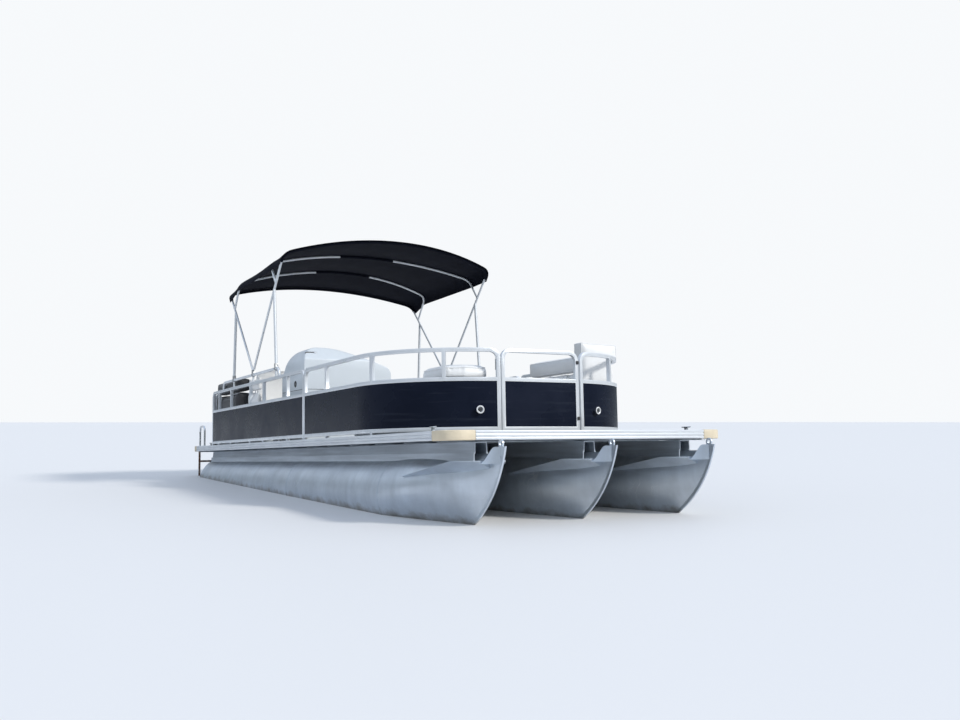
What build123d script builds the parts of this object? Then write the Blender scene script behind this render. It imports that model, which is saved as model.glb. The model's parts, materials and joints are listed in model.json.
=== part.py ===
"""Pontoon boat on three round tubes, in millimetres.

The boat is modelled from the middle of its deck's front edge: x runs towards the bow, y to port
and z up from the deck's top. The last lines move it so that its origin is under the middle of
its length, on the plane that the keels stand on.
"""

from build123d import *
import math
import os

# Hull
BEAM = 2590.0
DECK_LENGTH = 7640.0
STERN = -DECK_LENGTH
DECK_THICK = 19.0
TUBE_RADIUS = 317.5
TUBE_SPACING = 955.0
TUBE_TOP = -165.0
TUBE_AFT = STERN + 340.0
NOSE_RING = -1270.0
NOSE_MID = -740.0
NOSE_MID_WIDTH = 255.0
NOSE_LEAN = 0.75
STEM_CENTRE = (-613.5, 122.0)
STEM_RADIUS = 861.5
STEM_HEAD = -118.0
STEM_TURN = math.radians(44.0)
KEEL_WIDTH = 14.0
KEEL_DROP = 16.0
CAP_FOOT = (38.0, -238.0)
CAP_BROW = (124.0, -120.0)
CAP_HALF = 112.0
EYE_AT = (168.0, -98.0)
EYE_RADIUS = 30.0
EYE_HOLE = 15.0
EYE_THICK = 12.0
FIN_AFT = (-880.0, 276.0, -328.0)
FIN_MIDDLE = (-163.0, 228.0, -214.0)
FIN_FRONT = (42.0, 108.0, -226.0)
FIN_UNDER = 78.0
SEAT_GAP = 0.3

# Under the deck
CROSS_HEIGHT = 61.0
CROSS_WIDTH = 40.0
CROSS_WALL = 4.0
CROSS_PITCH = 555.0
CROSS_FIRST = -200.0
CROSS_SETBACK = 6.0
RISER_FRONT = -120.0
RISER_TAPER = -1180.0
RISER_NARROW = 0.36
RISER_FOOT = 172.0
RISER_STEP = (166.0, 150.0, -156.0)
RISER_TOP = 140.0
RISER_WALL = 8.0
RISER_POCKET = 260.0

# Deck edge
TRIM_DEPTH = 40.0
TRIM_HEIGHT = 68.0
GROOVE = 7.0
CORNER_LEG = 235.0
CORNER_RADIUS = 150.0
CORNER_PROUD = 3.0
CLEAT_INSET = 87.0
CLEAT_HORN = 52.0
CLEAT_HEIGHT = 34.0
CLEATS = [-380.0, STERN + 3600.0, STERN + 680.0]

# Fence: rails are named by the height of their middle
RAIL = 32.0
FENCE_INSET = 51.0
BOTTOM_RAIL = 35.0
MID_RAIL = 437.0
TOP_RAIL = 676.0
FENCE_FRONT = -790.0
FENCE_AFT = STERN + 950.0
SIDE_LENGTH = 3590.0
FENCE_SEAM = FENCE_AFT + SIDE_LENGTH
BOW_RADIUS = 920.0
END_RADIUS = 88.0
END_STUB = 130.0
PANEL_THICK = 4.0
PANEL_INSET = 2.0
SEAM_GAP = 4.0
# Distance of each post from the aft end of its section
SIDE_POSTS = [320.0, 890.0, 1720.0, 2230.0, 3060.0]
BOW_POST = 610.0
BOW_POST_ANGLES = [-76.0, -33.0]

# Gates
BOW_GATE = 762.0
STERN_GATE = 640.0
SIDE_GATE = 680.0
GATE_GAP = 10.0
HINGE_PIN = 5.0
HINGE_BARREL = 9.0
HINGE_LENGTH = 90.0
HINGE_HEIGHTS = [150.0, 560.0]
HINGE_FIT = 0.3

# Rail that carries the canopy, and the canopy
PERCH_RISE = 84.0
PERCH_TUBE = 16.0
PERCH_POST = 12.0
PERCH_BEND = 65.0
PERCH_FRONT = FENCE_AFT + 2765.0
PERCH_AFT = FENCE_AFT + 510.0
MOUNT_TOP = 54.0
MOUNT_HALF = 17.0
PIVOT_X = FENCE_AFT + 1810.0
STRUT_FEET = [FENCE_AFT + 2660.0, FENCE_AFT + 990.0]
BOW_TUBE = 12.5
STRUT_TUBE = 16.0
BOW_RISE = 256.0
BOW_SHOULDER = 128.0
CANOPY_THICK = 10.0
CANOPY_SKIRT = 290.0
CANOPY_FRONT = 30.0
CANOPY_AFT = 40.0

FORE_CROWN = (FENCE_AFT + 3065.0, 2165.0)
AFT_CROWN = (FENCE_AFT + 610.0, 2040.0)
FORE_MID_CROWN = (FENCE_AFT + 2270.0, 2150.0)
AFT_MID_CROWN = (FENCE_AFT + 1370.0, 2130.0)
FORE_JOINT = 0.66
AFT_JOINT = 0.68
STRUT_BELOW = 0.045

# Docking lights
LIGHT_Y = 574.0
LIGHT_Z = 188.0
LIGHT_RADIUS = 28.0
LIGHT_DEPTH = 26.0

# Helm
CONSOLE_FRONT = FENCE_AFT + 3090.0
CONSOLE_AFT = CONSOLE_FRONT - 730.0
CONSOLE_STARBOARD = FENCE_INSET - BEAM / 2 + 161.0
CONSOLE_PORT = CONSOLE_STARBOARD + 985.0
CONSOLE_TOP = 985.0
CONSOLE_SLOPE = (CONSOLE_STARBOARD + 385.0, 769.0)
CONSOLE_BROW = (850.0, 130.0)
CONSOLE_BEND = 92.0
CONSOLE_SHOULDER = 185.0
CONSOLE_DOME = 850.0
DASH_TOP = (CONSOLE_FRONT - 470.0, 962.0)
DASH_FOOT = 690.0
WHEEL_RADIUS = 180.0
WHEEL_GRIP = 14.0
WHEEL_REACH = 90.0
WHEEL_DOWN = 0.78
WHEEL_HUB = 42.0
WHEEL_SPOKE = 8.0
COLUMN_RADIUS = 34.0
CHAIR_X = CONSOLE_AFT - 910.0
CHAIR_Y = CONSOLE_STARBOARD + 263.0
CHAIR_SEAT = 430.0
CHAIR_HALF = 250.0
CHAIR_CUSHION = 120.0
CHAIR_BACK = 448.0
CHAIR_PEDESTAL = 36.0

# Lounges
BASE_HEIGHT = 290.0
LOUNGE_GAP = 12.0
LOUNGE_OUTER = BEAM / 2
BACK_DEPTH = 184.0
BACK_FACE = BEAM / 2 - FENCE_INSET - BACK_DEPTH
BOW_LOUNGE = FENCE_FRONT - 110.0
RAISED_AFT = FENCE_FRONT - 450.0
RAISED_FRONT = FENCE_FRONT - 310.0
RAISED_TOP = 830.0
RAISED_INNER = 634.0
RAISED_OUTER = 1055.0
RAISED_CLEAR = 8.0
RAISED_SEAT = 430.0
# Each lounge: x, side, inner y, height of the seat, end of the back, its top, cushions' name
LOUNGES = [
    ((FENCE_SEAM + 450.0, BOW_LOUNGE), 1, 560.0, RAISED_SEAT, RAISED_AFT - 2.0, 780.0, ""),
    ((FENCE_FRONT - 1110.0, BOW_LOUNGE), -1, 430.0, 440.0, BOW_LOUNGE, 455.0, ""),
    ((FENCE_AFT + 10.0, FENCE_AFT + 2390.0), 1, 640.0, 430.0, FENCE_AFT + 2390.0, 640.0, ""),
    ((FENCE_AFT + 10.0, FENCE_AFT + 1070.0), -1, 640.0, 430.0, FENCE_AFT + 1070.0, 800.0, "_dark"),
]
# Bolster on the starboard bow lounge: x, y and its top
BOLSTER = ((FENCE_FRONT - 590.0, FENCE_FRONT - 90.0), (-820.0, -440.0), 550.0)
# Slim pad on the fence beside the helm chair
SIDE_PAD = (FENCE_AFT + 1570.0, FENCE_AFT + 1990.0)
SIDE_PAD_DEPTH = 40.0
SIDE_PAD_HEIGHTS = (260.0, 750.0)

# Stern
POD_AFT = STERN - 20.0
POD_HALF = 240.0
POD_HEADS = (-190.0, -112.0)
POD_FEET = (-770.0, -640.0)
TRANSOM_THICK = 45.0
TRANSOM_HALF = 300.0
TRANSOM_TOP = -85.0
TILT_X = POD_AFT - 140.0
TILT_Z = 60.0
STORED_TILT = 62.0
STEER_BACK = 70.0
RAIL_AFT = STERN + 80.0
RAIL_FRONT = STERN + 335.0
RAIL_HEIGHT = 270.0
LADDER_Y = 270.0 - BEAM / 2
LADDER_HALF = 165.0
LADDER_REACH = 720.0
LADDER_TUBE = 14.0
LADDER_HINGE = (STERN - 28.0, -34.0)
RUNG_FIRST = 170.0
RUNG_PITCH = 240.0

# Outboard, measured from its tilt hinge with the motor upright
STEER_TUBE = 18.0
GEAR_DEPTH = 950.0
GEAR_RADIUS = 56.0
GEAR_NOSE = 120.0
PROP_FRONT = 500.0
PROP_HUB = 46.0
PROP_LENGTH = 108.0
SHAFT_RADIUS = 11.0
SKEG_DEPTH = GEAR_DEPTH + 180.0
# Blocks of the motor's leg: x, half width and z
LEG_BLOCKS = [
    ((-130.0, -STEER_BACK), 28.0, (-8.0, 44.0)),
    ((-130.0, -STEER_BACK), 32.0, (-415.0, -374.0)),
    ((-330.0, -125.0), 62.0, (-560.0, 44.0)),
    ((-580.0, -95.0), 150.0, (36.0, 50.0)),
    ((-420.0, -150.0), 24.0, (-GEAR_DEPTH, -550.0)),
    ((-560.0, -130.0), 95.0, (202.0 - GEAR_DEPTH, 212.0 - GEAR_DEPTH)),
]
COWL_HALF = 195.0
COWL_PROFILE = [
    (-20.0, 50.0), (-20.0, 420.0), (-70.0, 610.0), (-420.0, 640.0), (-590.0, 520.0), (-620.0, 50.0),
]
COWL_ROUND = 80.0

TUBE_Z = TUBE_TOP - TUBE_RADIUS
TUBE_BOTTOM = TUBE_Z - TUBE_RADIUS
HALF_BEAM = BEAM / 2
FENCE_Y = HALF_BEAM - FENCE_INSET
PERCH_HEIGHT = TOP_RAIL + RAIL / 2 + PERCH_RISE
CROSS_BOTTOM = -DECK_THICK - CROSS_HEIGHT
ARC_X = FENCE_FRONT - BOW_RADIUS
ARC_Y = FENCE_Y - BOW_RADIUS
# The stem's upper arc hands over at STEM_TURN to a wider one that meets the keel level
STEM_KNEE = STEM_CENTRE[1] - STEM_RADIUS * math.sin(STEM_TURN)
SWEEP_RADIUS = (STEM_KNEE - TUBE_BOTTOM) / (1 - math.sin(STEM_TURN))
STEM_FOOT = STEM_CENTRE[0] + (STEM_RADIUS - SWEEP_RADIUS) * math.cos(STEM_TURN)

nodes = {}


def block(x, y, z):
    """Box between pairs of x, y and z values."""
    sizes = [abs(pair[1] - pair[0]) for pair in (x, y, z)]
    middle = [(pair[0] + pair[1]) / 2 for pair in (x, y, z)]
    return Pos(*middle) * Box(*sizes)


def rod(start, end, radius):
    """Round bar between two points."""
    run = Vector(*end) - Vector(*start)
    plane = Plane(origin=start, z_dir=run)
    return plane * Cylinder(radius, run.length, align=(Align.CENTER, Align.CENTER, Align.MIN))


def side_plate(points, y0, y1):
    """Outline of (x, z) points made solid between two y values."""
    face = make_face(Polyline(*[(x, y0, z) for x, z in points], close=True))
    return extrude(face, y1 - y0, dir=(0, 1, 0))


def plan_plate(points, z0, z1):
    """Outline of (x, y) points made solid between two heights."""
    face = make_face(Polyline(*[(x, y, z0) for x, y in points], close=True))
    return extrude(face, z1 - z0, dir=(0, 0, 1))


def sector(centre, r0, r1, a0, a1, z0, z1):
    """Part of a ring about an upright axis, between two radii, angles and heights."""
    inner = CenterArc(centre, r0, a0, a1 - a0)
    outer = CenterArc(centre, r1, a0, a1 - a0)
    face = make_face([inner, outer, Line(inner @ 0, outer @ 0), Line(inner @ 1, outer @ 1)])
    return extrude(Pos(0, 0, z0) * face, z1 - z0)


def bent_tube(points, radii, tube):
    """Round tube along straight runs with bends of the given radii."""
    path = FilletPolyline(*points, radius=radii)
    section = Plane(origin=path @ 0, z_dir=path % 0) * Circle(tube)
    return sweep(section, path=path)


def port_of(shape):
    """The same piece on the port side."""
    return mirror(shape, about=Plane.XZ)


def both(shape):
    """A starboard piece and its port twin."""
    return [shape, port_of(shape)]


def add(name, *items):
    """Put the solids of one or more shapes in a node."""
    solids = []
    for item in items:
        for shape in item if isinstance(item, (list, tuple)) else [item]:
            solids.extend(shape.solids())
    nodes.setdefault(name, []).extend(solids)


def stem_edges(offset, y, top):
    """The stem's two tangent arcs in the plane of one tube, from a given height to the keel."""
    edges = []
    start = math.asin((STEM_CENTRE[1] - top) / (STEM_RADIUS + offset))
    keel_centre = (STEM_FOOT, TUBE_BOTTOM + SWEEP_RADIUS)
    for centre, radius, turns in (
        (STEM_CENTRE, STEM_RADIUS + offset, (start, STEM_TURN)),
        (keel_centre, SWEEP_RADIUS + offset, (STEM_TURN, math.pi / 2)),
    ):
        points = []
        for turn in (turns[0], sum(turns) / 2, turns[1]):
            points.append((centre[0] + radius * math.cos(turn), y, centre[1] - radius * math.sin(turn)))
        edges.append(Edge.make_three_point_arc(*points))
    return edges


def station(y, side, x, lean, width, shoulder, hollow):
    """Half section of the nose: a top arc to the shoulder and a side arc down to the keel."""
    top = (x + lean * TUBE_RADIUS, y, TUBE_TOP)
    foot = (x - lean * TUBE_RADIUS, y, TUBE_BOTTOM)
    points = []
    for across, up in (shoulder[0], shoulder[1], hollow):
        points.append((x + lean * up, y + side * width * across, TUBE_Z + up))
    return Wire([
        Edge.make_three_point_arc(top, points[0], points[1]),
        Edge.make_three_point_arc(points[1], points[2], foot),
    ])


def nose(y):
    """Formed cone: two side sheets from the ring's half circles to the stem."""
    faces = []
    for side in (-1, 1):
        r = TUBE_RADIUS
        c30, s30 = math.cos(math.radians(30)), math.sin(math.radians(30))
        ring = station(y, side, NOSE_RING, 0, r, ((s30, r * c30), (c30, r * s30)), (c30, -r * s30))
        mid = station(y, side, NOSE_MID, NOSE_LEAN, NOSE_MID_WIDTH, ((0.46, r - 52), (0.8, 150)), (0.86, -90))
        faces += Shell.make_loft([ring, mid, Wire(stem_edges(0, y, TUBE_TOP))]).faces()
    disc = Plane(origin=(NOSE_RING, y, TUBE_Z), z_dir=(-1, 0, 0)) * Circle(TUBE_RADIUS)
    return Solid(Shell(faces + disc.faces()))


def spray_fin(y, side):
    """Shelf that keeps the tube's width at the bow: flat top, sloping under side."""
    aft, middle, front = [Vector(x, y + side * out, z) for x, out, z in (FIN_AFT, FIN_MIDDLE, FIN_FRONT)]
    plan = [(p.X, p.Y) for p in (aft, middle, front)] + [(front.X, y), (aft.X, y)]
    prism = plan_plate(plan, FIN_AFT[2] - FIN_UNDER, FIN_MIDDLE[2])
    root = Vector(FIN_MIDDLE[0], y, FIN_MIDDLE[2])
    low = Vector(FIN_MIDDLE[0], middle.Y - side * 2 * FIN_UNDER, FIN_MIDDLE[2] - FIN_UNDER)
    tip = Vector(front.X, front.Y - side * FIN_UNDER, front.Z - FIN_UNDER / 2)
    for origin, along, third, keep in (
        (aft, middle, root, Keep.BOTTOM), (aft, middle, low, Keep.TOP), (middle, front, tip, Keep.TOP),
    ):
        normal = (along - origin).cross(third - origin)
        normal = normal if normal.Z > 0 else -normal
        prism = split(prism, bisect_by=Plane(origin=origin, z_dir=normal), keep=keep)
    return prism


def nose_cap(y):
    """Raised tip of the nose: an S-shaped rise to a flat top that narrows to the stem."""
    half = KEEL_WIDTH / 2
    front = EYE_AT[0]
    rise = Spline(CAP_FOOT, CAP_BROW, tangents=((1, 0.1), (1, 0)), tangent_scalars=(0.9, 0.9))
    edges = [rise, Line(CAP_BROW, (front, CAP_BROW[1])), Line((front, CAP_BROW[1]), (front, CAP_FOOT[1]))]
    edges.append(Line((front, CAP_FOOT[1]), CAP_FOOT))
    side = Plane(origin=(0, y + CAP_HALF, 0), x_dir=(1, 0, 0), z_dir=(0, -1, 0)) * make_face(edges)
    body = extrude(side, 2 * CAP_HALF, dir=(0, -1, 0))
    wedges = []
    for z, spread in ((CAP_FOOT[1], CAP_HALF), (CAP_BROW[1], CAP_HALF * 0.55)):
        plan = [(CAP_FOOT[0], spread), (front, half), (front, -half), (CAP_FOOT[0], -spread)]
        wedges.append(make_face(Polyline(*[(px, y + dy, z) for px, dy in plan], close=True)))
    return body & loft(wedges, ruled=True)


def pontoon(y):
    """One welded tube: barrel, nose, stem bar, keel, raised nose cap, tow eye and fins."""
    barrel = rod((TUBE_AFT, y, TUBE_Z), (NOSE_RING, y, TUBE_Z), TUBE_RADIUS)
    half = KEEL_WIDTH / 2
    keel = block((TUBE_AFT + 60, STEM_FOOT), (y - half, y + half), (TUBE_BOTTOM - KEEL_DROP, TUBE_BOTTOM + 12))
    outer = stem_edges(KEEL_DROP, y - half, STEM_HEAD)
    inner = stem_edges(-12, y - half, STEM_HEAD)
    ends = [Edge.make_line(outer[0] @ 0, inner[0] @ 0), Edge.make_line(outer[1] @ 1, inner[1] @ 1)]
    bar = extrude(make_face(outer + inner + ends), KEEL_WIDTH, dir=(0, 1, 0))
    eye = Pos(EYE_AT[0], y, EYE_AT[1]) * Rot(90, 0, 0) * Cylinder(EYE_RADIUS, EYE_THICK)
    lug = block((EYE_AT[0] - EYE_RADIUS, EYE_AT[0] + EYE_RADIUS), (y - EYE_THICK / 2, y + EYE_THICK / 2),
                (CAP_BROW[1] - 60, EYE_AT[1] - EYE_HOLE - 4))
    hole = Pos(EYE_AT[0], y, EYE_AT[1]) * Rot(90, 0, 0) * Cylinder(EYE_HOLE, 4 * EYE_THICK)
    body = barrel + nose(y) + keel + bar + nose_cap(y) + eye + lug
    for side in (-1, 1):
        body = body + spray_fin(y, side)
    return body - hole


def riser(y, tube):
    """Stepped bracket between a tube and the cross members, tapered and hollow at the bow."""
    def section(x, share, inset=0.0):
        low = TUBE_TOP - 80
        wide, narrow, step = RISER_STEP
        steps = [
            (RISER_FOOT, low), (wide, step - inset), (narrow, step - inset), (RISER_TOP, CROSS_BOTTOM - inset),
        ]
        outline = [(share * half - inset, z) for half, z in steps]
        outline += [(-half, z) for half, z in reversed(outline)]
        return make_face(Polyline(*[(x, y + dy, z) for dy, z in outline], close=True))

    bar = extrude(section(TUBE_AFT + 20, 1.0), RISER_TAPER - TUBE_AFT - 20, dir=(1, 0, 0))
    bar += loft([section(RISER_TAPER, 1.0), section(RISER_FRONT, RISER_NARROW)], ruled=True)
    slope = (1.0 - RISER_NARROW) / (RISER_FRONT - RISER_TAPER)
    pocket = [
        (RISER_FRONT - RISER_POCKET, RISER_NARROW + slope * RISER_POCKET), (RISER_FRONT + 1, RISER_NARROW),
    ]
    bar -= loft([section(x, share, RISER_WALL) for x, share in pocket], ruled=True)
    bar -= rod((TUBE_AFT, y, TUBE_Z), (NOSE_RING, y, TUBE_Z), TUBE_RADIUS + SEAT_GAP)
    bar -= Pos(0, 0, SEAT_GAP) * tube
    return max(bar.solids(), key=lambda solid: solid.volume)


def build_hull():
    """Tubes, risers, cross members, floor, edge trim, corner caps and cleats."""
    outer = pontoon(-TUBE_SPACING)
    centre = pontoon(0.0)
    add("tube_starboard", outer)
    add("tube_port", port_of(outer))
    add("tube_center", centre)
    add("risers", both(riser(-TUBE_SPACING, outer)), riser(0.0, centre))
    inside = HALF_BEAM - TRIM_DEPTH
    span = inside - CROSS_SETBACK
    count = int((DECK_LENGTH - TRIM_DEPTH - CROSS_WIDTH + CROSS_FIRST) / CROSS_PITCH) + 1
    w, t = CROSS_WIDTH, CROSS_WALL
    for i in range(count):
        x = CROSS_FIRST - i * CROSS_PITCH
        channel = block((x - w, x), (-span, span), (CROSS_BOTTOM, -DECK_THICK))
        hollow = block((x - w + t, x + 1), (-span - 1, span + 1), (CROSS_BOTTOM + t, -DECK_THICK - t))
        add("cross_members", channel - hollow)
    middle = -DECK_LENGTH / 2
    edge = RectangleRounded(DECK_LENGTH, BEAM, CORNER_RADIUS)
    inner = RectangleRounded(DECK_LENGTH - 2 * TRIM_DEPTH, BEAM - 2 * TRIM_DEPTH, CORNER_RADIUS - TRIM_DEPTH)
    add("deck_floor", Pos(middle, 0, -DECK_THICK) * extrude(inner, DECK_THICK))
    low, high = -TRIM_HEIGHT - CORNER_PROUD, CORNER_PROUD
    ring = Pos(middle, 0, low) * extrude(edge - inner, high - low)
    front, aft = -CORNER_LEG, CORNER_LEG - DECK_LENGTH
    reach = HALF_BEAM - CORNER_LEG
    for x in ((front, 10), (aft, -DECK_LENGTH - 10)):
        corner = block(x, (-reach, -HALF_BEAM - 10), (low, high))
        add("corner_caps", both(ring & corner))
    grooves = [-TRIM_HEIGHT * share for share in (0.34, 0.70)]
    side = block((aft, front), (-HALF_BEAM, -inside), (-TRIM_HEIGHT, 0))
    front_bar = block((-TRIM_DEPTH, 0), (-reach, reach), (-TRIM_HEIGHT, 0))
    aft_bar = block((-DECK_LENGTH, TRIM_DEPTH - DECK_LENGTH), (-reach, reach), (-TRIM_HEIGHT, 0))
    for z in grooves:
        band = (z - GROOVE / 2, z + GROOVE / 2)
        side -= block((aft - 1, front + 1), (-HALF_BEAM - 1, GROOVE - HALF_BEAM), band)
        front_bar -= block((-GROOVE, 1), (-reach - 1, reach + 1), band)
        aft_bar -= block((-DECK_LENGTH - 1, GROOVE - DECK_LENGTH), (-reach - 1, reach + 1), band)
    add("deck_trim", both(side), front_bar, aft_bar)
    y = CLEAT_INSET - HALF_BEAM
    for x in CLEATS:
        base = block((x - 30, x + 30), (y - 13, y + 13), (SEAT_GAP, 6))
        stem = block((x - 18, x + 18), (y - 6, y + 6), (SEAT_GAP, CLEAT_HEIGHT))
        horns = rod((x - CLEAT_HORN, y, CLEAT_HEIGHT), (x + CLEAT_HORN, y, CLEAT_HEIGHT), 6)
        add("cleats", both(base + stem + horns))


def fence_run(length, posts, closed=(True, True), feet=True):
    """Straight stretch of fence along x from 0, middle on y 0: rails, posts and feet."""
    half = RAIL / 2
    low, top = BOTTOM_RAIL - half, TOP_RAIL + half
    frame = block((0, length), (-half, half), (low, top))
    for end, x in zip(closed, (0, length)):
        if end:
            corner = frame.edges().filter_by(Axis.Y).group_by(Axis.Z)[-1].sort_by(Axis.X)
            frame = fillet(corner[0] if x == 0 else corner[-1], END_RADIUS)
    start = RAIL if closed[0] else -1
    stop = length - RAIL if closed[1] else length + 1
    frame -= block((start, stop), (-RAIL, RAIL), (BOTTOM_RAIL + half, MID_RAIL - half))
    stops = [start] + [p for post in posts for p in (post - half, post + half)] + [stop]
    for i in range(0, len(stops), 2):
        window = block((stops[i], stops[i + 1]), (-RAIL, RAIL), (MID_RAIL + half, TOP_RAIL - half))
        upper = window.edges().filter_by(Axis.Y).group_by(Axis.Z)[-1].sort_by(Axis.X)
        if closed[0] and i == 0:
            window = fillet(upper[0], END_RADIUS - RAIL)
            upper = window.edges().filter_by(Axis.Y).group_by(Axis.Z)[-1].sort_by(Axis.X)
        if closed[1] and i == len(stops) - 2:
            window = fillet(upper[-1], END_RADIUS - RAIL)
        frame -= window
    if feet:
        ends = ([half] if closed[0] else []) + ([length - half] if closed[1] else [])
        for x in ends + posts:
            frame += block((x - half, x + half), (-half, half), (0, low))
    return frame


def panel_run(length, closed=(True, True)):
    """Sheet between the bottom and middle rails, near their outer face, which is at -y."""
    half = RAIL / 2
    start = RAIL if closed[0] else 0
    stop = length - RAIL if closed[1] else length
    outer = PANEL_INSET - half
    return block((start, stop), (outer, outer + PANEL_THICK), (BOTTOM_RAIL + half, MID_RAIL - half))


def bow_corner_angle():
    """Angle at which the bow arc hands over to the straight stub beside the gate."""
    across = BOW_GATE / 2 + GATE_GAP - ARC_Y
    lean = math.asin(across / math.hypot(BOW_RADIUS, END_STUB))
    return math.degrees(lean + math.atan(END_STUB / BOW_RADIUS))


def bow_section(make_run, bands):
    """Starboard bow fence or panel: side run, arc and a stub that ends at the gate."""
    centre = (ARC_X, -ARC_Y)
    turn = bow_corner_angle()
    start = FENCE_SEAM + SEAM_GAP / 2
    length = ARC_X - start
    shape = Pos(start, -FENCE_Y, 0) * make_run(length, (True, False))
    for r0, r1, z0, z1 in bands:
        shape += sector(centre, BOW_RADIUS + r0, BOW_RADIUS + r1, -90, -turn, z0, z1)
    angle = math.radians(turn)
    at = (ARC_X + BOW_RADIUS * math.cos(angle), -ARC_Y - BOW_RADIUS * math.sin(angle))
    shape += Pos(at[0], at[1], 0) * Rot(0, 0, 90 - turn) * make_run(END_STUB, (False, True))
    return shape


def bow_fence():
    """Starboard bow frame with its rails carried round the arc and short posts on it."""
    half = RAIL / 2
    bands = [(-half, half, z - half, z + half) for z in (BOTTOM_RAIL, MID_RAIL, TOP_RAIL)]

    def run(length, closed):
        posts = [BOW_POST] if closed[0] else []
        return fence_run(length, posts, closed)

    frame = bow_section(run, bands)
    for angle in BOW_POST_ANGLES:
        post = block((-half, half), (-half, half), (MID_RAIL, TOP_RAIL))
        post += block((-half, half), (-half, half), (0, BOTTOM_RAIL))
        turned = Pos(ARC_X, -ARC_Y, 0) * Rot(0, 0, angle) * Pos(BOW_RADIUS, 0, 0) * post
        frame += turned
    return frame


def bow_panel():
    """Starboard bow sheet, rolled round the arc."""
    half = RAIL / 2
    outer = half - PANEL_INSET
    bands = [(outer - PANEL_THICK, outer, BOTTOM_RAIL + half, MID_RAIL - half)]
    return bow_section(panel_run, bands)


def hinge_parts():
    """Hinges at x 0 between a post at x < 0 and a gate at x > 0, inside being +y."""
    axis = (-GATE_GAP / 2, RAIL / 2 + HINGE_BARREL)
    third = HINGE_LENGTH / 3
    fixed, moving = [], []
    for z in HINGE_HEIGHTS:
        pin = Pos(axis[0], axis[1], z) * Cylinder(HINGE_PIN, HINGE_LENGTH)
        lug = block((axis[0] - 30, axis[0]), (axis[1] - 4, axis[1] + 4), (z - third * 1.5, z + third * 1.5))
        span = (z - third * 1.5, z + third * 1.5)
        foot = block((axis[0] - 30, axis[0] - 12), (-RAIL / 4, axis[1] + 4), span)
        ends = [Pos(axis[0], axis[1], z + up * third) * Cylinder(HINGE_BARREL, third) for up in (-1, 1)]
        room = block(
            (axis[0] - 11, axis[0] + 20), (axis[1] - 20, axis[1] + 20), (z - third / 2, z + third / 2)
        )
        fixed.append((lug + foot - room) + ends[0] + ends[1] + pin)
        tall = third - 2 * HINGE_FIT
        barrel = Pos(axis[0], axis[1], z) * Cylinder(HINGE_BARREL, tall)
        back = axis[1] - HINGE_BARREL
        leaf = block((axis[0], axis[0] + 32), (back, back + 4), (z - tall / 2, z + tall / 2))
        bore = Pos(axis[0], axis[1], z) * Cylinder(HINGE_PIN + HINGE_FIT, HINGE_LENGTH)
        moving.append(barrel + leaf - bore)
    return fixed, moving


def gate(name, width, place, fence):
    """Gate frame, panel and hinges, placed so that its own x runs from hinge to latch."""
    fixed, moving = hinge_parts()
    frame = fence_run(width, [], feet=False)
    for knuckle in moving:
        frame += knuckle
    add(name + "_frame", place * frame)
    add(name + "_panel", place * panel_run(width))
    for hinge in fixed:
        add("gate_hinges", (place * hinge) - fence)


def build_fence():
    """Bow, side and stern sections, their panels and the three gates."""
    bow = bow_fence()
    add("fence_bow_starboard", bow)
    add("fence_bow_port", port_of(bow))
    add("panels_bow", both(bow_panel()))
    side_start = FENCE_AFT
    side_length = FENCE_SEAM - SEAM_GAP / 2 - side_start
    starboard = Pos(side_start, -FENCE_Y, 0) * fence_run(side_length, SIDE_POSTS)
    gate_front = FENCE_SEAM + SEAM_GAP / 2 - GATE_GAP
    port_length = gate_front - SIDE_GATE - GATE_GAP - side_start
    port_posts = [post for post in SIDE_POSTS if post < port_length - 2 * RAIL]
    port = port_of(Pos(side_start, -FENCE_Y, 0) * fence_run(port_length, port_posts))
    add("fence_side_starboard", starboard)
    add("fence_side_port", port)
    add("panels_side", Pos(side_start, -FENCE_Y, 0) * panel_run(side_length))
    add("panels_side", port_of(Pos(side_start, -FENCE_Y, 0) * panel_run(port_length)))
    stern_length = FENCE_Y - RAIL / 2 - SEAM_GAP - STERN_GATE / 2 - GATE_GAP
    stern_x = FENCE_AFT + RAIL / 2
    stern_place = Pos(stern_x, FENCE_Y - RAIL / 2 - SEAM_GAP, 0) * Rot(0, 0, -90)
    stern = stern_place * fence_run(stern_length, [stern_length / 2])
    add("fence_stern", both(stern))
    add("panels_stern", both(stern_place * panel_run(stern_length)))
    gate("gate_bow", BOW_GATE, Pos(FENCE_FRONT, -BOW_GATE / 2, 0) * Rot(0, 0, 90), bow)
    gate("gate_stern", STERN_GATE, Pos(stern_x, STERN_GATE / 2, 0) * Rot(0, 0, -90), stern)
    gate("gate_side", SIDE_GATE, Pos(gate_front, FENCE_Y, 0) * Rot(0, 0, 180), port_of(bow))


def build_lights():
    """Round docking lights on the rolled bow panels."""
    face = BOW_RADIUS + RAIL / 2 - PANEL_INSET + 0.8
    angle = -math.degrees(math.asin((LIGHT_Y - ARC_Y) / face))
    body = Pos(face + LIGHT_DEPTH / 2, 0, LIGHT_Z) * Rot(0, 90, 0) * Cylinder(LIGHT_RADIUS, LIGHT_DEPTH)
    rim = Pos(face + LIGHT_DEPTH + 3, 0, LIGHT_Z) * Rot(0, 90, 0) * Cylinder(LIGHT_RADIUS + 5, 6)
    lens = Pos(face + LIGHT_DEPTH + 5, 0, LIGHT_Z) * Rot(0, 90, 0) * Cylinder(LIGHT_RADIUS - 8, 8)
    place = Pos(ARC_X, -ARC_Y, 0) * Rot(0, 0, angle)
    add("docking_lights", both(place * (body + rim - lens)))


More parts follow.
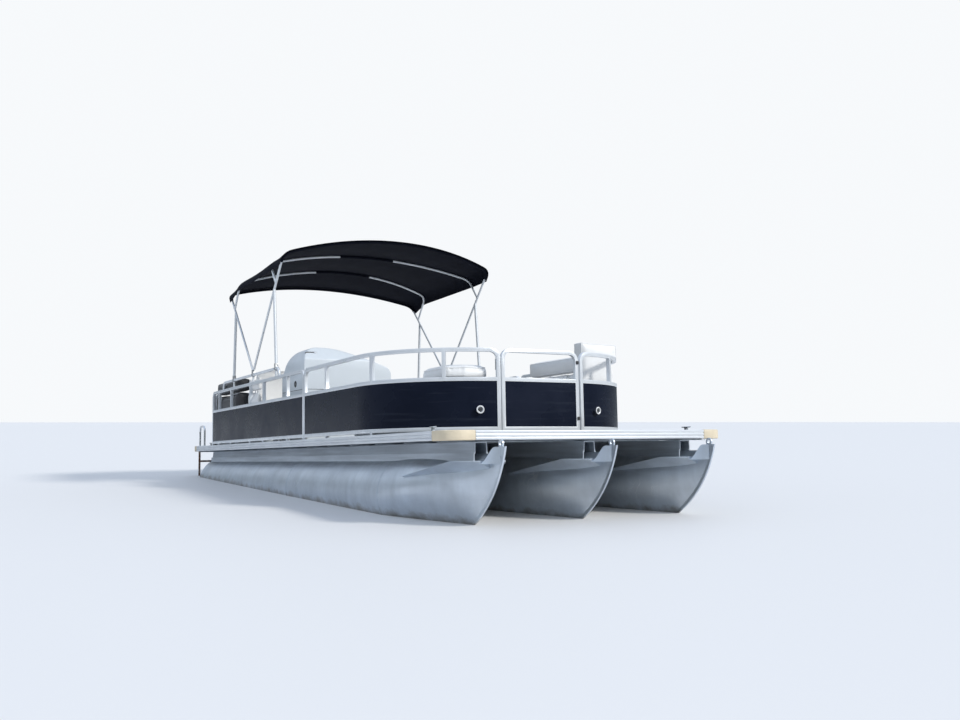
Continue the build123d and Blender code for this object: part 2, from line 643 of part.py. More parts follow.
def arch(foot, crown, grow, low=0.0, shift=0.0):
    """Bow line in the plane through a foot and a crown, each (x, z): legs, shoulders, one arc.

    It is grown outwards, starts at a height above the foot along the leg and is shifted in x.
    """
    reach = math.dist(foot, crown)
    lean = Vector(crown[0] - foot[0], 0, crown[1] - foot[1]) / reach
    broad = (FENCE_Y ** 2 + BOW_RISE ** 2) / (2 * BOW_RISE)
    inner = FENCE_Y - BOW_SHOULDER
    shoulder = reach - broad + math.sqrt((broad - BOW_SHOULDER) ** 2 - inner ** 2)
    turn = math.asin(inner / (broad - BOW_SHOULDER))
    radius = BOW_SHOULDER + grow

    def point(y, up):
        return Vector(foot[0] + shift, y, foot[1]) + lean * up

    def corner(angle, side):
        return point(side * (inner + radius * math.sin(angle)), shoulder + radius * math.cos(angle))

    angles = (math.pi / 2, (math.pi / 2 + turn) / 2, turn)
    port = [corner(angle, 1) for angle in reversed(angles)]
    starboard = [corner(angle, -1) for angle in angles]
    return [
        Edge.make_line(point(-FENCE_Y - grow, low), starboard[0]),
        Edge.make_three_point_arc(*starboard),
        Edge.make_three_point_arc(starboard[2], point(0, reach + grow), port[0]),
        Edge.make_three_point_arc(*port),
        Edge.make_line(port[2], point(FENCE_Y + grow, low)),
    ]


def canvas_section(foot, crown, shift):
    """Cloth in the plane of one bow, resting on the tube, with straight skirts."""
    reach = math.dist(foot, crown)
    rise = (crown[1] - foot[1]) / reach
    seat = (BOW_TUBE + SEAT_GAP) / rise
    low = reach - CANOPY_SKIRT / rise
    inner = arch(foot, crown, seat, low, shift)
    outer = arch(foot, crown, seat + CANOPY_THICK, low, shift)
    ends = [Edge.make_line(inner[0] @ 0, outer[0] @ 0), Edge.make_line(inner[-1] @ 1, outer[-1] @ 1)]
    return make_face(inner + outer + ends)


def build_canopy():
    """Raised rails, hinged mounts, tube bows, struts and the canvas."""
    top = TOP_RAIL + RAIL / 2
    ends = [(PERCH_AFT, -FENCE_Y, top), (PERCH_AFT, -FENCE_Y, PERCH_HEIGHT)]
    ends += [(PERCH_FRONT, -FENCE_Y, PERCH_HEIGHT), (PERCH_FRONT, -FENCE_Y, top)]
    perch = bent_tube(ends, PERCH_BEND, PERCH_TUBE)
    feet = [STRUT_FEET[0], PIVOT_X, STRUT_FEET[1]]
    for x in feet:
        perch += rod((x, -FENCE_Y, top), (x, -FENCE_Y, PERCH_HEIGHT), PERCH_POST)
    add("canopy_rails", both(perch))
    foot_z = PERCH_HEIGHT + MOUNT_TOP
    half = MOUNT_HALF
    for x in feet:
        grip = half + 2
        clamp = rod((x - grip, -FENCE_Y, PERCH_HEIGHT), (x + grip, -FENCE_Y, PERCH_HEIGHT), PERCH_TUBE + 6)
        stand = (PERCH_HEIGHT + PERCH_TUBE, foot_z)
        clamp += block((x - half, x + half), (-FENCE_Y - half, -FENCE_Y + half), stand)
        hole = PERCH_TUBE + SEAT_GAP
        clamp -= rod((x - 30, -FENCE_Y, PERCH_HEIGHT), (x + 30, -FENCE_Y, PERCH_HEIGHT), hole)
        clamp -= rod((x, -FENCE_Y, top), (x, -FENCE_Y, PERCH_HEIGHT), PERCH_POST + SEAT_GAP)
        add("canopy_mounts", both(clamp))

    def along(foot, crown, share):
        return tuple(a + (b - a) * share for a, b in zip(foot, crown))

    pivot = (PIVOT_X, foot_z - 20)
    floor = block((STERN - 1000, 0), (-BEAM, BEAM), (0, foot_z + SEAT_GAP))

    def bow(foot, crown, tube):
        path = Wire(arch(foot, crown, 0.0))
        return sweep(Plane(origin=path @ 0, z_dir=path % 0) * Circle(tube), path=path)

    fore = bow(pivot, FORE_CROWN, BOW_TUBE) - floor
    clear = bow(pivot, FORE_CROWN, BOW_TUBE + SEAT_GAP)
    back = bow(pivot, AFT_CROWN, BOW_TUBE) - floor - clear
    back = max(back.solids(), key=lambda solid: solid.volume)
    clear_back = bow(pivot, AFT_CROWN, BOW_TUBE + SEAT_GAP)
    add("canopy_main_bows", fore, back)
    sections, rooms = [], [clear, clear_back]
    for crown, main, share, foot_x, room, reach in (
        (FORE_MID_CROWN, FORE_CROWN, FORE_JOINT, STRUT_FEET[0], clear, CANOPY_FRONT),
        (AFT_MID_CROWN, AFT_CROWN, AFT_JOINT, STRUT_FEET[1], clear_back, -CANOPY_AFT),
    ):
        joint = along(pivot, main, share)
        mid = bow(joint, crown, BOW_TUBE) - room
        rooms.append(bow(joint, crown, BOW_TUBE + SEAT_GAP))
        add("canopy_mid_bows", max(mid.solids(), key=lambda solid: solid.volume))
        below = along(pivot, main, share - STRUT_BELOW)
        strut = rod((foot_x, -FENCE_Y, foot_z + SEAT_GAP), (below[0], -FENCE_Y, below[1]), STRUT_TUBE)
        strut = (strut - floor) - room
        add("canopy_struts", both(max(strut.solids(), key=lambda solid: solid.volume)))
        sections.append([canvas_section(pivot, main, reach), canvas_section(joint, crown, 0.0)])
    canvas = loft(sections[0] + sections[1][::-1], ruled=True)
    for room in rooms:
        canvas -= room
    add("canopy_canvas", canvas)


def build_helm():
    """Domed console, its column and wheel, and the swivelling chair."""
    crest, edge = CONSOLE_SLOPE
    front = [(CONSOLE_STARBOARD, 0), (CONSOLE_STARBOARD, CONSOLE_TOP), (crest, CONSOLE_TOP)]
    front += [(CONSOLE_PORT, edge), (CONSOLE_PORT, 0)]
    face = make_face(Polyline(*[(CONSOLE_FRONT + 10, y, z) for y, z in front], close=True))
    corners = face.vertices().filter_by(lambda v: v.Z > 1)
    face = fillet(corners.filter_by(lambda v: v.Y > crest + 1), CONSOLE_BEND)
    face = fillet(face.vertices().filter_by(lambda v: v.Z > 1 and v.Y < crest - 1), CONSOLE_SHOULDER)
    face = fillet(face.vertices().filter_by(lambda v: abs(v.Y - crest) < 1), CONSOLE_DOME)
    body = extrude(face, CONSOLE_FRONT - CONSOLE_AFT + 20, dir=(-1, 0, 0))
    brow, run = CONSOLE_BROW
    side = [(CONSOLE_FRONT, 0), (CONSOLE_FRONT, brow), (CONSOLE_FRONT - run, CONSOLE_TOP)]
    side += [(DASH_TOP[0] + run, CONSOLE_TOP), DASH_TOP, (CONSOLE_AFT, DASH_FOOT), (CONSOLE_AFT, 0)]
    body = body & side_plate(side, CONSOLE_STARBOARD - 10, CONSOLE_PORT + 10)
    add("console", body)
    slope = Vector(CONSOLE_AFT - DASH_TOP[0], 0, DASH_FOOT - DASH_TOP[1]).normalized()
    out = Vector(slope.Z, 0, -slope.X)
    seat = Vector(
        DASH_TOP[0] + (CONSOLE_AFT - DASH_TOP[0]) * WHEEL_DOWN, CHAIR_Y,
        DASH_TOP[1] + (DASH_FOOT - DASH_TOP[1]) * WHEEL_DOWN,
    )
    hub = seat + out * WHEEL_REACH
    column = rod(seat - out * 40, hub - out * (20 + SEAT_GAP), COLUMN_RADIUS) - body
    add("helm_column", column)
    wheel = Torus(WHEEL_RADIUS, WHEEL_GRIP) + rod((0, 0, -20), (0, 0, 18), WHEEL_HUB)
    for turn in (90, 210, 330):
        angle = math.radians(turn)
        end = (WHEEL_RADIUS * math.cos(angle), WHEEL_RADIUS * math.sin(angle), 0)
        wheel += rod((0, 0, 0), end, WHEEL_SPOKE)
    add("helm_wheel", Plane(origin=hub, x_dir=(0, 1, 0), z_dir=out).location * wheel)
    x, y = CHAIR_X, CHAIR_Y
    z = CHAIR_SEAT - CHAIR_CUSHION
    post = Pos(x, y, 5) * Cylinder(165, 10)
    post += rod((x, y, 5), (x, y, z), CHAIR_PEDESTAL)
    add("chair_pedestal", post)
    z += SEAT_GAP
    half = CHAIR_HALF
    add("chair_mount", block((x - 130, x + 130), (y - 130, y + 130), (z, z + 18)))
    z += 18
    seat = block((x - half, x + half), (y - half, y + half), (z, z + CHAIR_CUSHION))
    seat = fillet(seat.edges().filter_by(Axis.Z), 60)
    add("chair_seat", fillet(seat.edges().group_by(Axis.Z)[-1], 30))
    low = z + CHAIR_CUSHION + SEAT_GAP
    back = block((x - half - 5, x - half + 105), (y - half + 15, y + half - 15), (low, low + CHAIR_BACK))
    add("chair_back", fillet(back.edges().filter_by(Axis.X), 90))
    front = x - half + 105 + SEAT_GAP
    for side in (-1, 1):
        upright = block((front, x + 10), (y + side * (half + 1), y + side * (half + 40)), (z + 40, z + 200))
        pad = block((front, x + 160), (y + side * (half + 1), y + side * (half + 50)), (z + 200, z + 250))
        link = block((front, x - 60), (y + side * (half - 50), y + side * (half + 5)), (z + 210, z + 240))
        add("chair_arms", upright + pad + link)


def cockpit():
    """Plan of the space inside the fence, a little clear of its panels."""
    inset = RAIL / 2 + LOUNGE_GAP
    half = FENCE_Y - inset
    radius = BOW_RADIUS - inset
    bow = Pos(ARC_X, 0, 0) * block((-10, radius), (-ARC_Y, ARC_Y), (0, 1200))
    room = block((FENCE_AFT + RAIL + LOUNGE_GAP, ARC_X), (-half, half), (0, 1200)) + bow
    for side in (-1, 1):
        room += Pos(ARC_X, side * ARC_Y, 600) * Cylinder(radius, 1200)
    return room


def build_lounges():
    """Bases, cushions and backrests, cut to the fence's plan."""
    room = cockpit()
    for x, side, inner, seat_top, back_end, back_top, name in LOUNGES:
        outer = side * LOUNGE_OUTER
        back = sorted((outer, side * BACK_FACE))
        front = sorted((side * (BACK_FACE - SEAT_GAP), side * inner))
        base = sorted((outer, side * (inner + 40)))
        low = BASE_HEIGHT + SEAT_GAP
        add("lounge_bases", block(x, base, (0, BASE_HEIGHT)) & room)
        add("lounge_seats" + name, block(x, front, (low, seat_top)) & room)
        add("lounge_backs" + name, block((x[0], back_end), back, (low, back_top)) & room)
    inside = RAIL / 2 + SEAT_GAP - FENCE_Y
    add("lounge_backs", block(SIDE_PAD, (inside, inside + SIDE_PAD_DEPTH), SIDE_PAD_HEIGHTS))
    x = (RAISED_AFT, RAISED_FRONT)
    raised = block(x, (RAISED_INNER, LOUNGE_OUTER), (RAISED_SEAT + SEAT_GAP, RAISED_TOP))
    raised += block(x, (BACK_FACE, LOUNGE_OUTER), (BASE_HEIGHT + SEAT_GAP, RAISED_SEAT + 1))
    over = block(x, (RAISED_INNER, RAISED_OUTER), (TOP_RAIL + RAIL / 2 + RAISED_CLEAR, RAISED_TOP))
    add("lounge_raised_back", (raised & room) + over)
    x, y, top = BOLSTER
    seat_top = LOUNGES[1][3]
    add("lounge_bolster", block(x, y, (seat_top + SEAT_GAP, top)) & room)


def build_stern():
    """Pod, transom, tilting outboard motor, hand rails and boarding ladder."""
    pod = [(TUBE_AFT, POD_HEADS[0]), (POD_AFT, POD_HEADS[1]), (POD_AFT, POD_FEET[1]), (TUBE_AFT, POD_FEET[0])]
    add("motor_pod", side_plate(pod, -POD_HALF, POD_HALF))
    face = POD_AFT - TRANSOM_THICK
    add("transom", block((face, POD_AFT), (-TRANSOM_HALF, TRANSOM_HALF), (POD_FEET[1], TRANSOM_TOP)))
    arm = [(face, -420), (face, -90), (TILT_X + 36, TILT_Z + 28), (TILT_X - 30, TILT_Z + 28)]
    arm += [(TILT_X - 34, TILT_Z - 30), (face - 34, -150), (face - 34, -420)]
    bracket = block((face - 14, face), (-150, 150), (-420, -100))
    for side in (-1, 1):
        bracket += side_plate(arm, min(side * 112, side * 132), max(side * 112, side * 132))
    bracket += rod((TILT_X, -140, TILT_Z), (TILT_X, 140, TILT_Z), 12)
    add("outboard_bracket", bracket)

    hinge = Axis((TILT_X, 0, TILT_Z), (0, 1, 0))

    def stored(shape):
        return shape.rotate(hinge, STORED_TILT)

    def at(x, y, z):
        """Block measured from the tilt hinge with the motor upright."""
        return block([TILT_X + v for v in x], y, [TILT_Z + v for v in z])

    def upright(x, z0, z1, radius):
        return rod((TILT_X + x, 0, TILT_Z + z0), (TILT_X + x, 0, TILT_Z + z1), radius)

    def shaft(x0, x1, radius):
        """Round bar along the propeller's axis."""
        z = TILT_Z - GEAR_DEPTH
        return rod((TILT_X - x0, 0, z), (TILT_X - x1, 0, z), radius)

    steer = -STEER_BACK
    swivel = at((steer, 22), (-105, 105), (-42, 22)) - at((steer - 40, -30), (-106, 106), (-8, 30))
    swivel += upright(steer, -370, -12, 2 * STEER_TUBE)
    swivel -= rod((TILT_X, -120, TILT_Z), (TILT_X, 120, TILT_Z), 12 + HINGE_FIT)
    swivel -= upright(steer, -380, 40, STEER_TUBE + HINGE_FIT)
    add("outboard_swivel", stored(swivel))
    leg = upright(steer, -400, 10, STEER_TUBE) + upright(steer, -8, 44, 30) + upright(steer, -415, -374, 34)
    for x, half, z in LEG_BLOCKS:
        leg += at(x, (-half, half), z)
    leg += shaft(PROP_FRONT - 10, GEAR_NOSE, GEAR_RADIUS)
    leg += Pos(TILT_X - GEAR_NOSE, 0, TILT_Z - GEAR_DEPTH) * Sphere(GEAR_RADIUS)
    root = -GEAR_DEPTH - GEAR_RADIUS + 16
    skeg = [(-200, root), (-430, root), (-440, -SKEG_DEPTH), (-330, -SKEG_DEPTH)]
    leg += side_plate([(TILT_X + px, TILT_Z + pz) for px, pz in skeg], -6, 6)
    leg += shaft(PROP_FRONT + PROP_LENGTH - 8, PROP_FRONT - 20, SHAFT_RADIUS)
    add("outboard_leg", stored(leg))
    shell = side_plate([(TILT_X + px, TILT_Z + pz) for px, pz in COWL_PROFILE], -COWL_HALF, COWL_HALF)
    rims = shell.edges().filter_by(lambda e: abs(abs(e.center().Y) - COWL_HALF) < 1)
    shell = fillet(rims.filter_by(lambda e: e.center().Z > TILT_Z + COWL_PROFILE[0][1] + 10), COWL_ROUND)
    add("outboard_cowl", stored(shell))
    prop = shaft(PROP_FRONT + PROP_LENGTH, PROP_FRONT, PROP_HUB)
    for turn in (0, 120, 240):
        place = Pos(TILT_X - PROP_FRONT - PROP_LENGTH / 2, 0, TILT_Z - GEAR_DEPTH) * Rot(turn, 0, 0)
        prop += place * Pos(0, 0, 105) * Rot(0, 0, 32) * Box(9, PROP_LENGTH - 16, 140)
    prop -= shaft(PROP_FRONT + PROP_LENGTH + 12, PROP_FRONT - 10, SHAFT_RADIUS + HINGE_FIT)
    add("propeller", stored(prop))

    for y in (LADDER_Y - LADDER_HALF - 20, LADDER_Y + LADDER_HALF + 20):
        path = [(RAIL_AFT, y, 0), (RAIL_AFT, y, RAIL_HEIGHT), (RAIL_FRONT, y, RAIL_HEIGHT), (RAIL_FRONT, y, 0)]
        add("stern_rails", bent_tube(path, 70.0, BOW_TUBE))
    hx, hz = LADDER_HINGE
    ladder = None
    for side in (-1, 1):
        y = LADDER_Y + side * LADDER_HALF
        bracket = block((hx - 12, STERN), (y - 22, y - 16), (hz - 16, hz + 16))
        bracket += block((hx - 12, STERN), (y + 16, y + 22), (hz - 16, hz + 16))
        bracket += block((STERN - 5, STERN), (y - 30, y + 30), (hz - 30, hz + 30))
        bracket += rod((hx, y - 22, hz), (hx, y + 22, hz), 6)
        add("ladder_brackets", bracket)
        rail = rod((hx, y, hz - LADDER_REACH), (hx, y, hz), LADDER_TUBE)
        rail += rod((hx, y - LADDER_TUBE - 1.5, hz), (hx, y + LADDER_TUBE + 1.5, hz), 11)
        rail -= rod((hx, y - 30, hz), (hx, y + 30, hz), 6 + HINGE_FIT)
        ladder = rail if ladder is None else ladder + rail
    for i in range(3):
        z = hz - RUNG_FIRST - i * RUNG_PITCH
        across = (LADDER_Y - LADDER_HALF, LADDER_Y + LADDER_HALF)
        ladder += block((hx - 30, hx + 30), across, (z - 12, z + 12))
    add("boarding_ladder", ladder)


def write_parts():
    """Move the boat over its origin and write one file per node."""
    boat = Compound([solid for solids in nodes.values() for solid in solids]).bounding_box()
    shift = Pos(-(boat.min.X + boat.max.X) / 2, 0, -boat.min.Z)
    os.makedirs("parts", exist_ok=True)
    for name, solids in nodes.items():
        export_step(Compound([shift * solid for solid in solids]), "parts/" + name + ".step")
    back, down = round(-shift.position.X, 3), round(shift.position.Z, 3)
    print("origin lies", back, "behind the deck front and", down, "below its top")
    print("length", round(boat.size.X, 1), "width", round(boat.size.Y, 3), "height", round(boat.size.Z, 1))


build_hull()
build_fence()
build_lights()
build_canopy()
build_helm()
build_lounges()
build_stern()
write_parts()
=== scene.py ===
"""Pontoon boat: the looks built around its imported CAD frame, laid out as a Blender add-on.

Everything is in metres in the frame of the CAD model: x runs towards the bow, y to port, z up.
Most pieces take their place from the CAD nodes. The deck's front edge and top give the camera
and the water their places.
"""

import json
import math

import bpy
from bpy.props import FloatProperty, FloatVectorProperty, IntProperty, PointerProperty
from mathutils import Matrix, Vector

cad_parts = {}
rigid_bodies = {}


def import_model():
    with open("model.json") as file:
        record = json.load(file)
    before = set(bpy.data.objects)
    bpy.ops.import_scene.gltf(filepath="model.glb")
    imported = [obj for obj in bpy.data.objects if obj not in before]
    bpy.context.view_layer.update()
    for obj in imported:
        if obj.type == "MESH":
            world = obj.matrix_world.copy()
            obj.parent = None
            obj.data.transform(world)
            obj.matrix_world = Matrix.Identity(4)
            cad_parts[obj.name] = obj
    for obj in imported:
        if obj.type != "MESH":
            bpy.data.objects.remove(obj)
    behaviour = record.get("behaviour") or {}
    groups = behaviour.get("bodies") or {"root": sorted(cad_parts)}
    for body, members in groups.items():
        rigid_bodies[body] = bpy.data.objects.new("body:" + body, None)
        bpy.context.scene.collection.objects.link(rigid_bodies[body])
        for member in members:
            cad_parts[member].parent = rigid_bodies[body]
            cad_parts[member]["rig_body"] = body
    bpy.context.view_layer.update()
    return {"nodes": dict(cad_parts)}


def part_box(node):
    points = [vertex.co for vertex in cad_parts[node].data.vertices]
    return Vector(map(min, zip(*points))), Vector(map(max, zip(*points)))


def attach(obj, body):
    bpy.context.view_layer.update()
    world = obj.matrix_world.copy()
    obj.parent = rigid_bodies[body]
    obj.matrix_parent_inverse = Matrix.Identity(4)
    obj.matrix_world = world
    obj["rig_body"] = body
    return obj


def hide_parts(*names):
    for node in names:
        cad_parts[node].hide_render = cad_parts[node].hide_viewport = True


bl_info = {
    "name": "Pontoon boat",
    "version": (1, 0, 0),
    "blender": (4, 5, 0),
    "location": "3D View > Sidebar > Boat",
    "description": "Builds the finishes, fittings and soft goods of a pontoon boat around its CAD frame",
    "category": "Object",
}

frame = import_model()

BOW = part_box("deck_trim")[1].x
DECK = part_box("deck_floor")[1].z


def colour(name, description, value):
    """One colour that a user would change."""
    return FloatVectorProperty(
        name=name, description=description, subtype="COLOR", size=3, min=0.0, max=1.0, default=value
    )


def length(name, description, value):
    """One size that a user would change."""
    return FloatProperty(name=name, description=description, default=value, unit="LENGTH", min=0.0)


class BoatColours(bpy.types.PropertyGroup):
    """Colours of the finishes."""

    hull: colour("Hull aluminium", "Bare sheet of the tubes and risers", (0.60, 0.66, 0.73))
    rail: colour("Rails", "Anodised square and round tube", (0.74, 0.77, 0.80))
    panel: colour("Panels", "Painted sheet between the rails", (0.006, 0.009, 0.020))
    canvas: colour("Canvas", "Cloth of the canopy", (0.004, 0.005, 0.010))
    vinyl: colour("Vinyl", "Light cushions", (0.80, 0.80, 0.79))
    vinyl_dark: colour("Dark vinyl", "Dark cushions", (0.022, 0.022, 0.026))
    shell: colour("Moulded shell", "Console and lounge bases", (0.66, 0.71, 0.75))
    carpet: colour("Carpet", "Deck covering", (0.30, 0.29, 0.27))
    cap: colour("Corner caps", "Sun faded plastic", (0.66, 0.57, 0.42))
    motor: colour("Motor", "Enamel of the outboard motor", (0.012, 0.013, 0.015))
    # Waterline colour: real weed and silt staining, and also painted shade on the lower part of the tubes
    stain_and_shade: colour("Waterline stain", "Dried weed and silt above the water", (0.16, 0.115, 0.06))
    floor: colour("Floor", "Plain floor at the waterline", (0.80, 0.785, 0.765))


class BoatSizes(bpy.types.PropertyGroup):
    """Sizes of what is added to the frame."""

    edge: length("Rail edge", "Rounding of the square rails' edges", 0.004)
    rivet: length("Rivet", "Radius of the rivet heads", 0.006)
    rivet_pitch: length("Rivet pitch", "Distance between rivets along a rail", 0.30)
    weld: length("Weld", "Radius of the weld beads", 0.006)
    sheet: length("Canvas", "Thickness of the canopy cloth", 0.0016)
    sag: length("Canvas sag", "How far the cloth sinks between two bows", 0.014)
    crown: length("Cushion crown", "How far a cushion may swell", 0.022)
    stitch: length("Welt", "Radius of the piping on the cushions", 0.004)
    water: length("Water", "Height of the deck's front edge over the water", 0.685)
    cloth_steps: IntProperty(name="Cloth steps", description="Frames of swelling", default=20, min=1)


def sizes():
    return bpy.context.scene.boat_sizes


def colours():
    return bpy.context.scene.boat_colours


# Materials


def put(tree, kind, place=(0, 0), **values):
    """Add a shader node; values name its input sockets or its own settings."""
    made = tree.nodes.new(kind)
    made.location = place
    for key, value in values.items():
        name = key.replace("_", " ")
        if name in made.inputs:
            made.inputs[name].default_value = value
        else:
            setattr(made, key, value)
    return made


def feed(tree, node, *sources, **named_sources):
    """Link sources to a node's inputs, in order or by name, and give its first output."""
    for i, source in enumerate(sources):
        if source is not None:
            tree.links.new(source, node.inputs[i])
    for key, source in named_sources.items():
        tree.links.new(source, node.inputs[key.replace("_", " ")])
    return node.outputs[0]


VECTOR, FLOAT = "NodeSocketVector", "NodeSocketFloat"
MASK = [("Mask", FLOAT)]


def group(name, inputs, outputs=MASK):
    """Start a shader node group: its tree, what it is given and what it gives back."""
    tree = bpy.data.node_groups.new(name, "ShaderNodeTree")
    for label, kind, default in [("Vector", VECTOR, None), *inputs]:
        socket = tree.interface.new_socket(name=label, in_out="INPUT", socket_type=kind)
        if default is not None:
            socket.default_value = default
    for label, kind in outputs:
        tree.interface.new_socket(name=label, in_out="OUTPUT", socket_type=kind)
    return tree, tree.nodes.new("NodeGroupInput").outputs, tree.nodes.new("NodeGroupOutput").inputs


def limits(scale, low, high):
    """Inputs of a noise mask."""
    return [("Scale", FLOAT, scale), ("Low", FLOAT, low), ("High", FLOAT, high)]


def noise_mask(tree, vector, given, **settings):
    """Noise spread between the group's two limits."""
    noise = feed(tree, put(tree, "ShaderNodeTexNoise", **settings), Vector=vector, Scale=given["Scale"])
    spread = put(tree, "ShaderNodeMapRange")
    return feed(tree, spread, Value=noise, From_Min=given["Low"], From_Max=given["High"])


def mottle_group():
    """Soft cloudy patches between two limits."""
    tree, given, result = group("Mottle", limits(5.0, 0.35, 0.65))
    mask = noise_mask(tree, given["Vector"], given, Detail=4.0, Roughness=0.6)
    tree.links.new(mask, result["Mask"])
    return tree


def streak_group():
    """Runs and rolling marks: noise stretched along chosen axes."""
    stretch = ("Stretch", VECTOR, (1.0, 1.0, 1.0))
    tree, given, result = group("Streaks", [stretch, *limits(4.0, 0.4, 0.7)])
    scaled = put(tree, "ShaderNodeVectorMath", operation="MULTIPLY")
    vector = feed(tree, scaled, given["Vector"], given["Stretch"])
    mask = noise_mask(tree, vector, given, Detail=5.0, Roughness=0.55)
    tree.links.new(mask, result["Mask"])
    return tree


def scratch_group():
    """Thin crooked scratches: the edges of distorted cells, thinned by patches."""
    inputs = [("Scale", FLOAT, 6.0), ("Width", FLOAT, 0.02), ("Cover", FLOAT, 0.5)]
    tree, given, result = group("Scratches", inputs)
    bend = put(tree, "ShaderNodeTexNoise", Scale=3.0, Detail=2.0)
    feed(tree, bend, Vector=given["Vector"])
    mixed = put(tree, "ShaderNodeMix", data_type="VECTOR")
    mixed.inputs["Factor"].default_value = 0.25
    tree.links.new(given["Vector"], mixed.inputs[4])
    tree.links.new(bend.outputs["Color"], mixed.inputs[5])
    cells = put(tree, "ShaderNodeTexVoronoi", feature="DISTANCE_TO_EDGE")
    feed(tree, cells, Vector=mixed.outputs[1], Scale=given["Scale"])
    patch = put(tree, "ShaderNodeTexNoise", Scale=2.2, Detail=3.0)
    cloud = feed(tree, patch, Vector=given["Vector"])
    line = put(tree, "ShaderNodeMath", operation="LESS_THAN")
    thin = put(tree, "ShaderNodeMath", operation="GREATER_THAN")
    both = put(tree, "ShaderNodeMath", operation="MULTIPLY")
    near = feed(tree, line, cells.outputs["Distance"], given["Width"])
    mask = feed(tree, both, near, feed(tree, thin, cloud, given["Cover"]))
    tree.links.new(mask, result["Mask"])
    return tree


def grain_group():
    """Pebbled vinyl or moulded grain, as a normal."""
    inputs = [("Scale", FLOAT, 400.0), ("Strength", FLOAT, 0.2)]
    tree, given, result = group("Grain", inputs, [("Normal", VECTOR)])
    cells = put(tree, "ShaderNodeTexVoronoi", feature="F1")
    feed(tree, cells, Vector=given["Vector"], Scale=given["Scale"])
    bump = put(tree, "ShaderNodeBump", Distance=0.001)
    normal = feed(tree, bump, Height=cells.outputs["Distance"], Strength=given["Strength"])
    tree.links.new(normal, result["Normal"])
    return tree


def weave_group():
    """Plain weave: two crossing waves give a height, and noise gives a shade."""
    outputs = [("Height", FLOAT), ("Shade", FLOAT)]
    tree, given, result = group("Weave", [("Threads", FLOAT, 300.0)], outputs)
    waves = []
    for axis in ("X", "Y"):
        wave = put(tree, "ShaderNodeTexWave", wave_type="BANDS", bands_direction=axis)
        feed(tree, wave, Vector=given["Vector"], Scale=given["Threads"])
        waves.append(wave.outputs["Fac"])
    crossed = put(tree, "ShaderNodeMath", operation="MULTIPLY")
    tree.links.new(feed(tree, crossed, *waves), result["Height"])
    noise = feed(tree, put(tree, "ShaderNodeTexNoise", Scale=9.0, Detail=4.0), Vector=given["Vector"])
    shade_range = put(tree, "ShaderNodeMapRange", From_Min=0.3, From_Max=0.7)
    tree.links.new(feed(tree, shade_range, Value=noise), result["Shade"])
    return tree


# Height over the water where the waterline band would begin to fade if its ragged edge didn't lower it, the
# height over which it fades, how ragged it is, and the water's slope along the boat. The band is real
# staining by weed and silt, and also painted shade that darkens the lower part of the tubes.
STAIN_AND_SHADE_ABOVE = 0.235
STAIN_AND_SHADE_FADE = 0.06
STAIN_AND_SHADE_RAGGED = 0.16
WATER_SLOPE = 0.037


def waterline_group():
    """Band full at the water, fading out above it with a ragged edge: real staining and painted shade."""
    inputs = [("Water", FLOAT, 0.15), ("Rise", FLOAT, 0.1), ("Trim", FLOAT, WATER_SLOPE)]
    tree, given, result = group("Waterline", inputs)
    apart = put(tree, "ShaderNodeSeparateXYZ")
    feed(tree, apart, given["Vector"])
    slope = feed(tree, put(tree, "ShaderNodeMath", operation="MULTIPLY"), apart.outputs["X"], given["Trim"])
    level = feed(tree, put(tree, "ShaderNodeMath", operation="ADD"), apart.outputs["Z"], slope)
    noise = put(tree, "ShaderNodeTexNoise", Scale=7.0, Detail=5.0, Roughness=0.65)
    ragged = put(tree, "ShaderNodeMath", operation="MULTIPLY_ADD")
    ragged.inputs[1].default_value = STAIN_AND_SHADE_RAGGED
    edge = feed(tree, ragged, feed(tree, noise, Vector=given["Vector"]), None, level)
    above = feed(tree, put(tree, "ShaderNodeMath", operation="SUBTRACT"), edge, given["Water"])
    share = feed(tree, put(tree, "ShaderNodeMath", operation="DIVIDE"), above, given["Rise"])
    rest = put(tree, "ShaderNodeMath", operation="SUBTRACT", use_clamp=True)
    rest.inputs[0].default_value = 1.0
    tree.links.new(feed(tree, rest, None, share), result["Mask"])
    return tree


GROUPS = {}
FINISHES = {}


def effects():
    """Build each shared effect once."""
    if not GROUPS:
        for maker in (mottle_group, streak_group, scratch_group, grain_group, weave_group, waterline_group):
            tree = maker()
            GROUPS[tree.name] = tree


def shade(base, factor):
    """A darker or lighter copy of a colour."""
    return tuple(min(1.0, channel * factor) for channel in base)


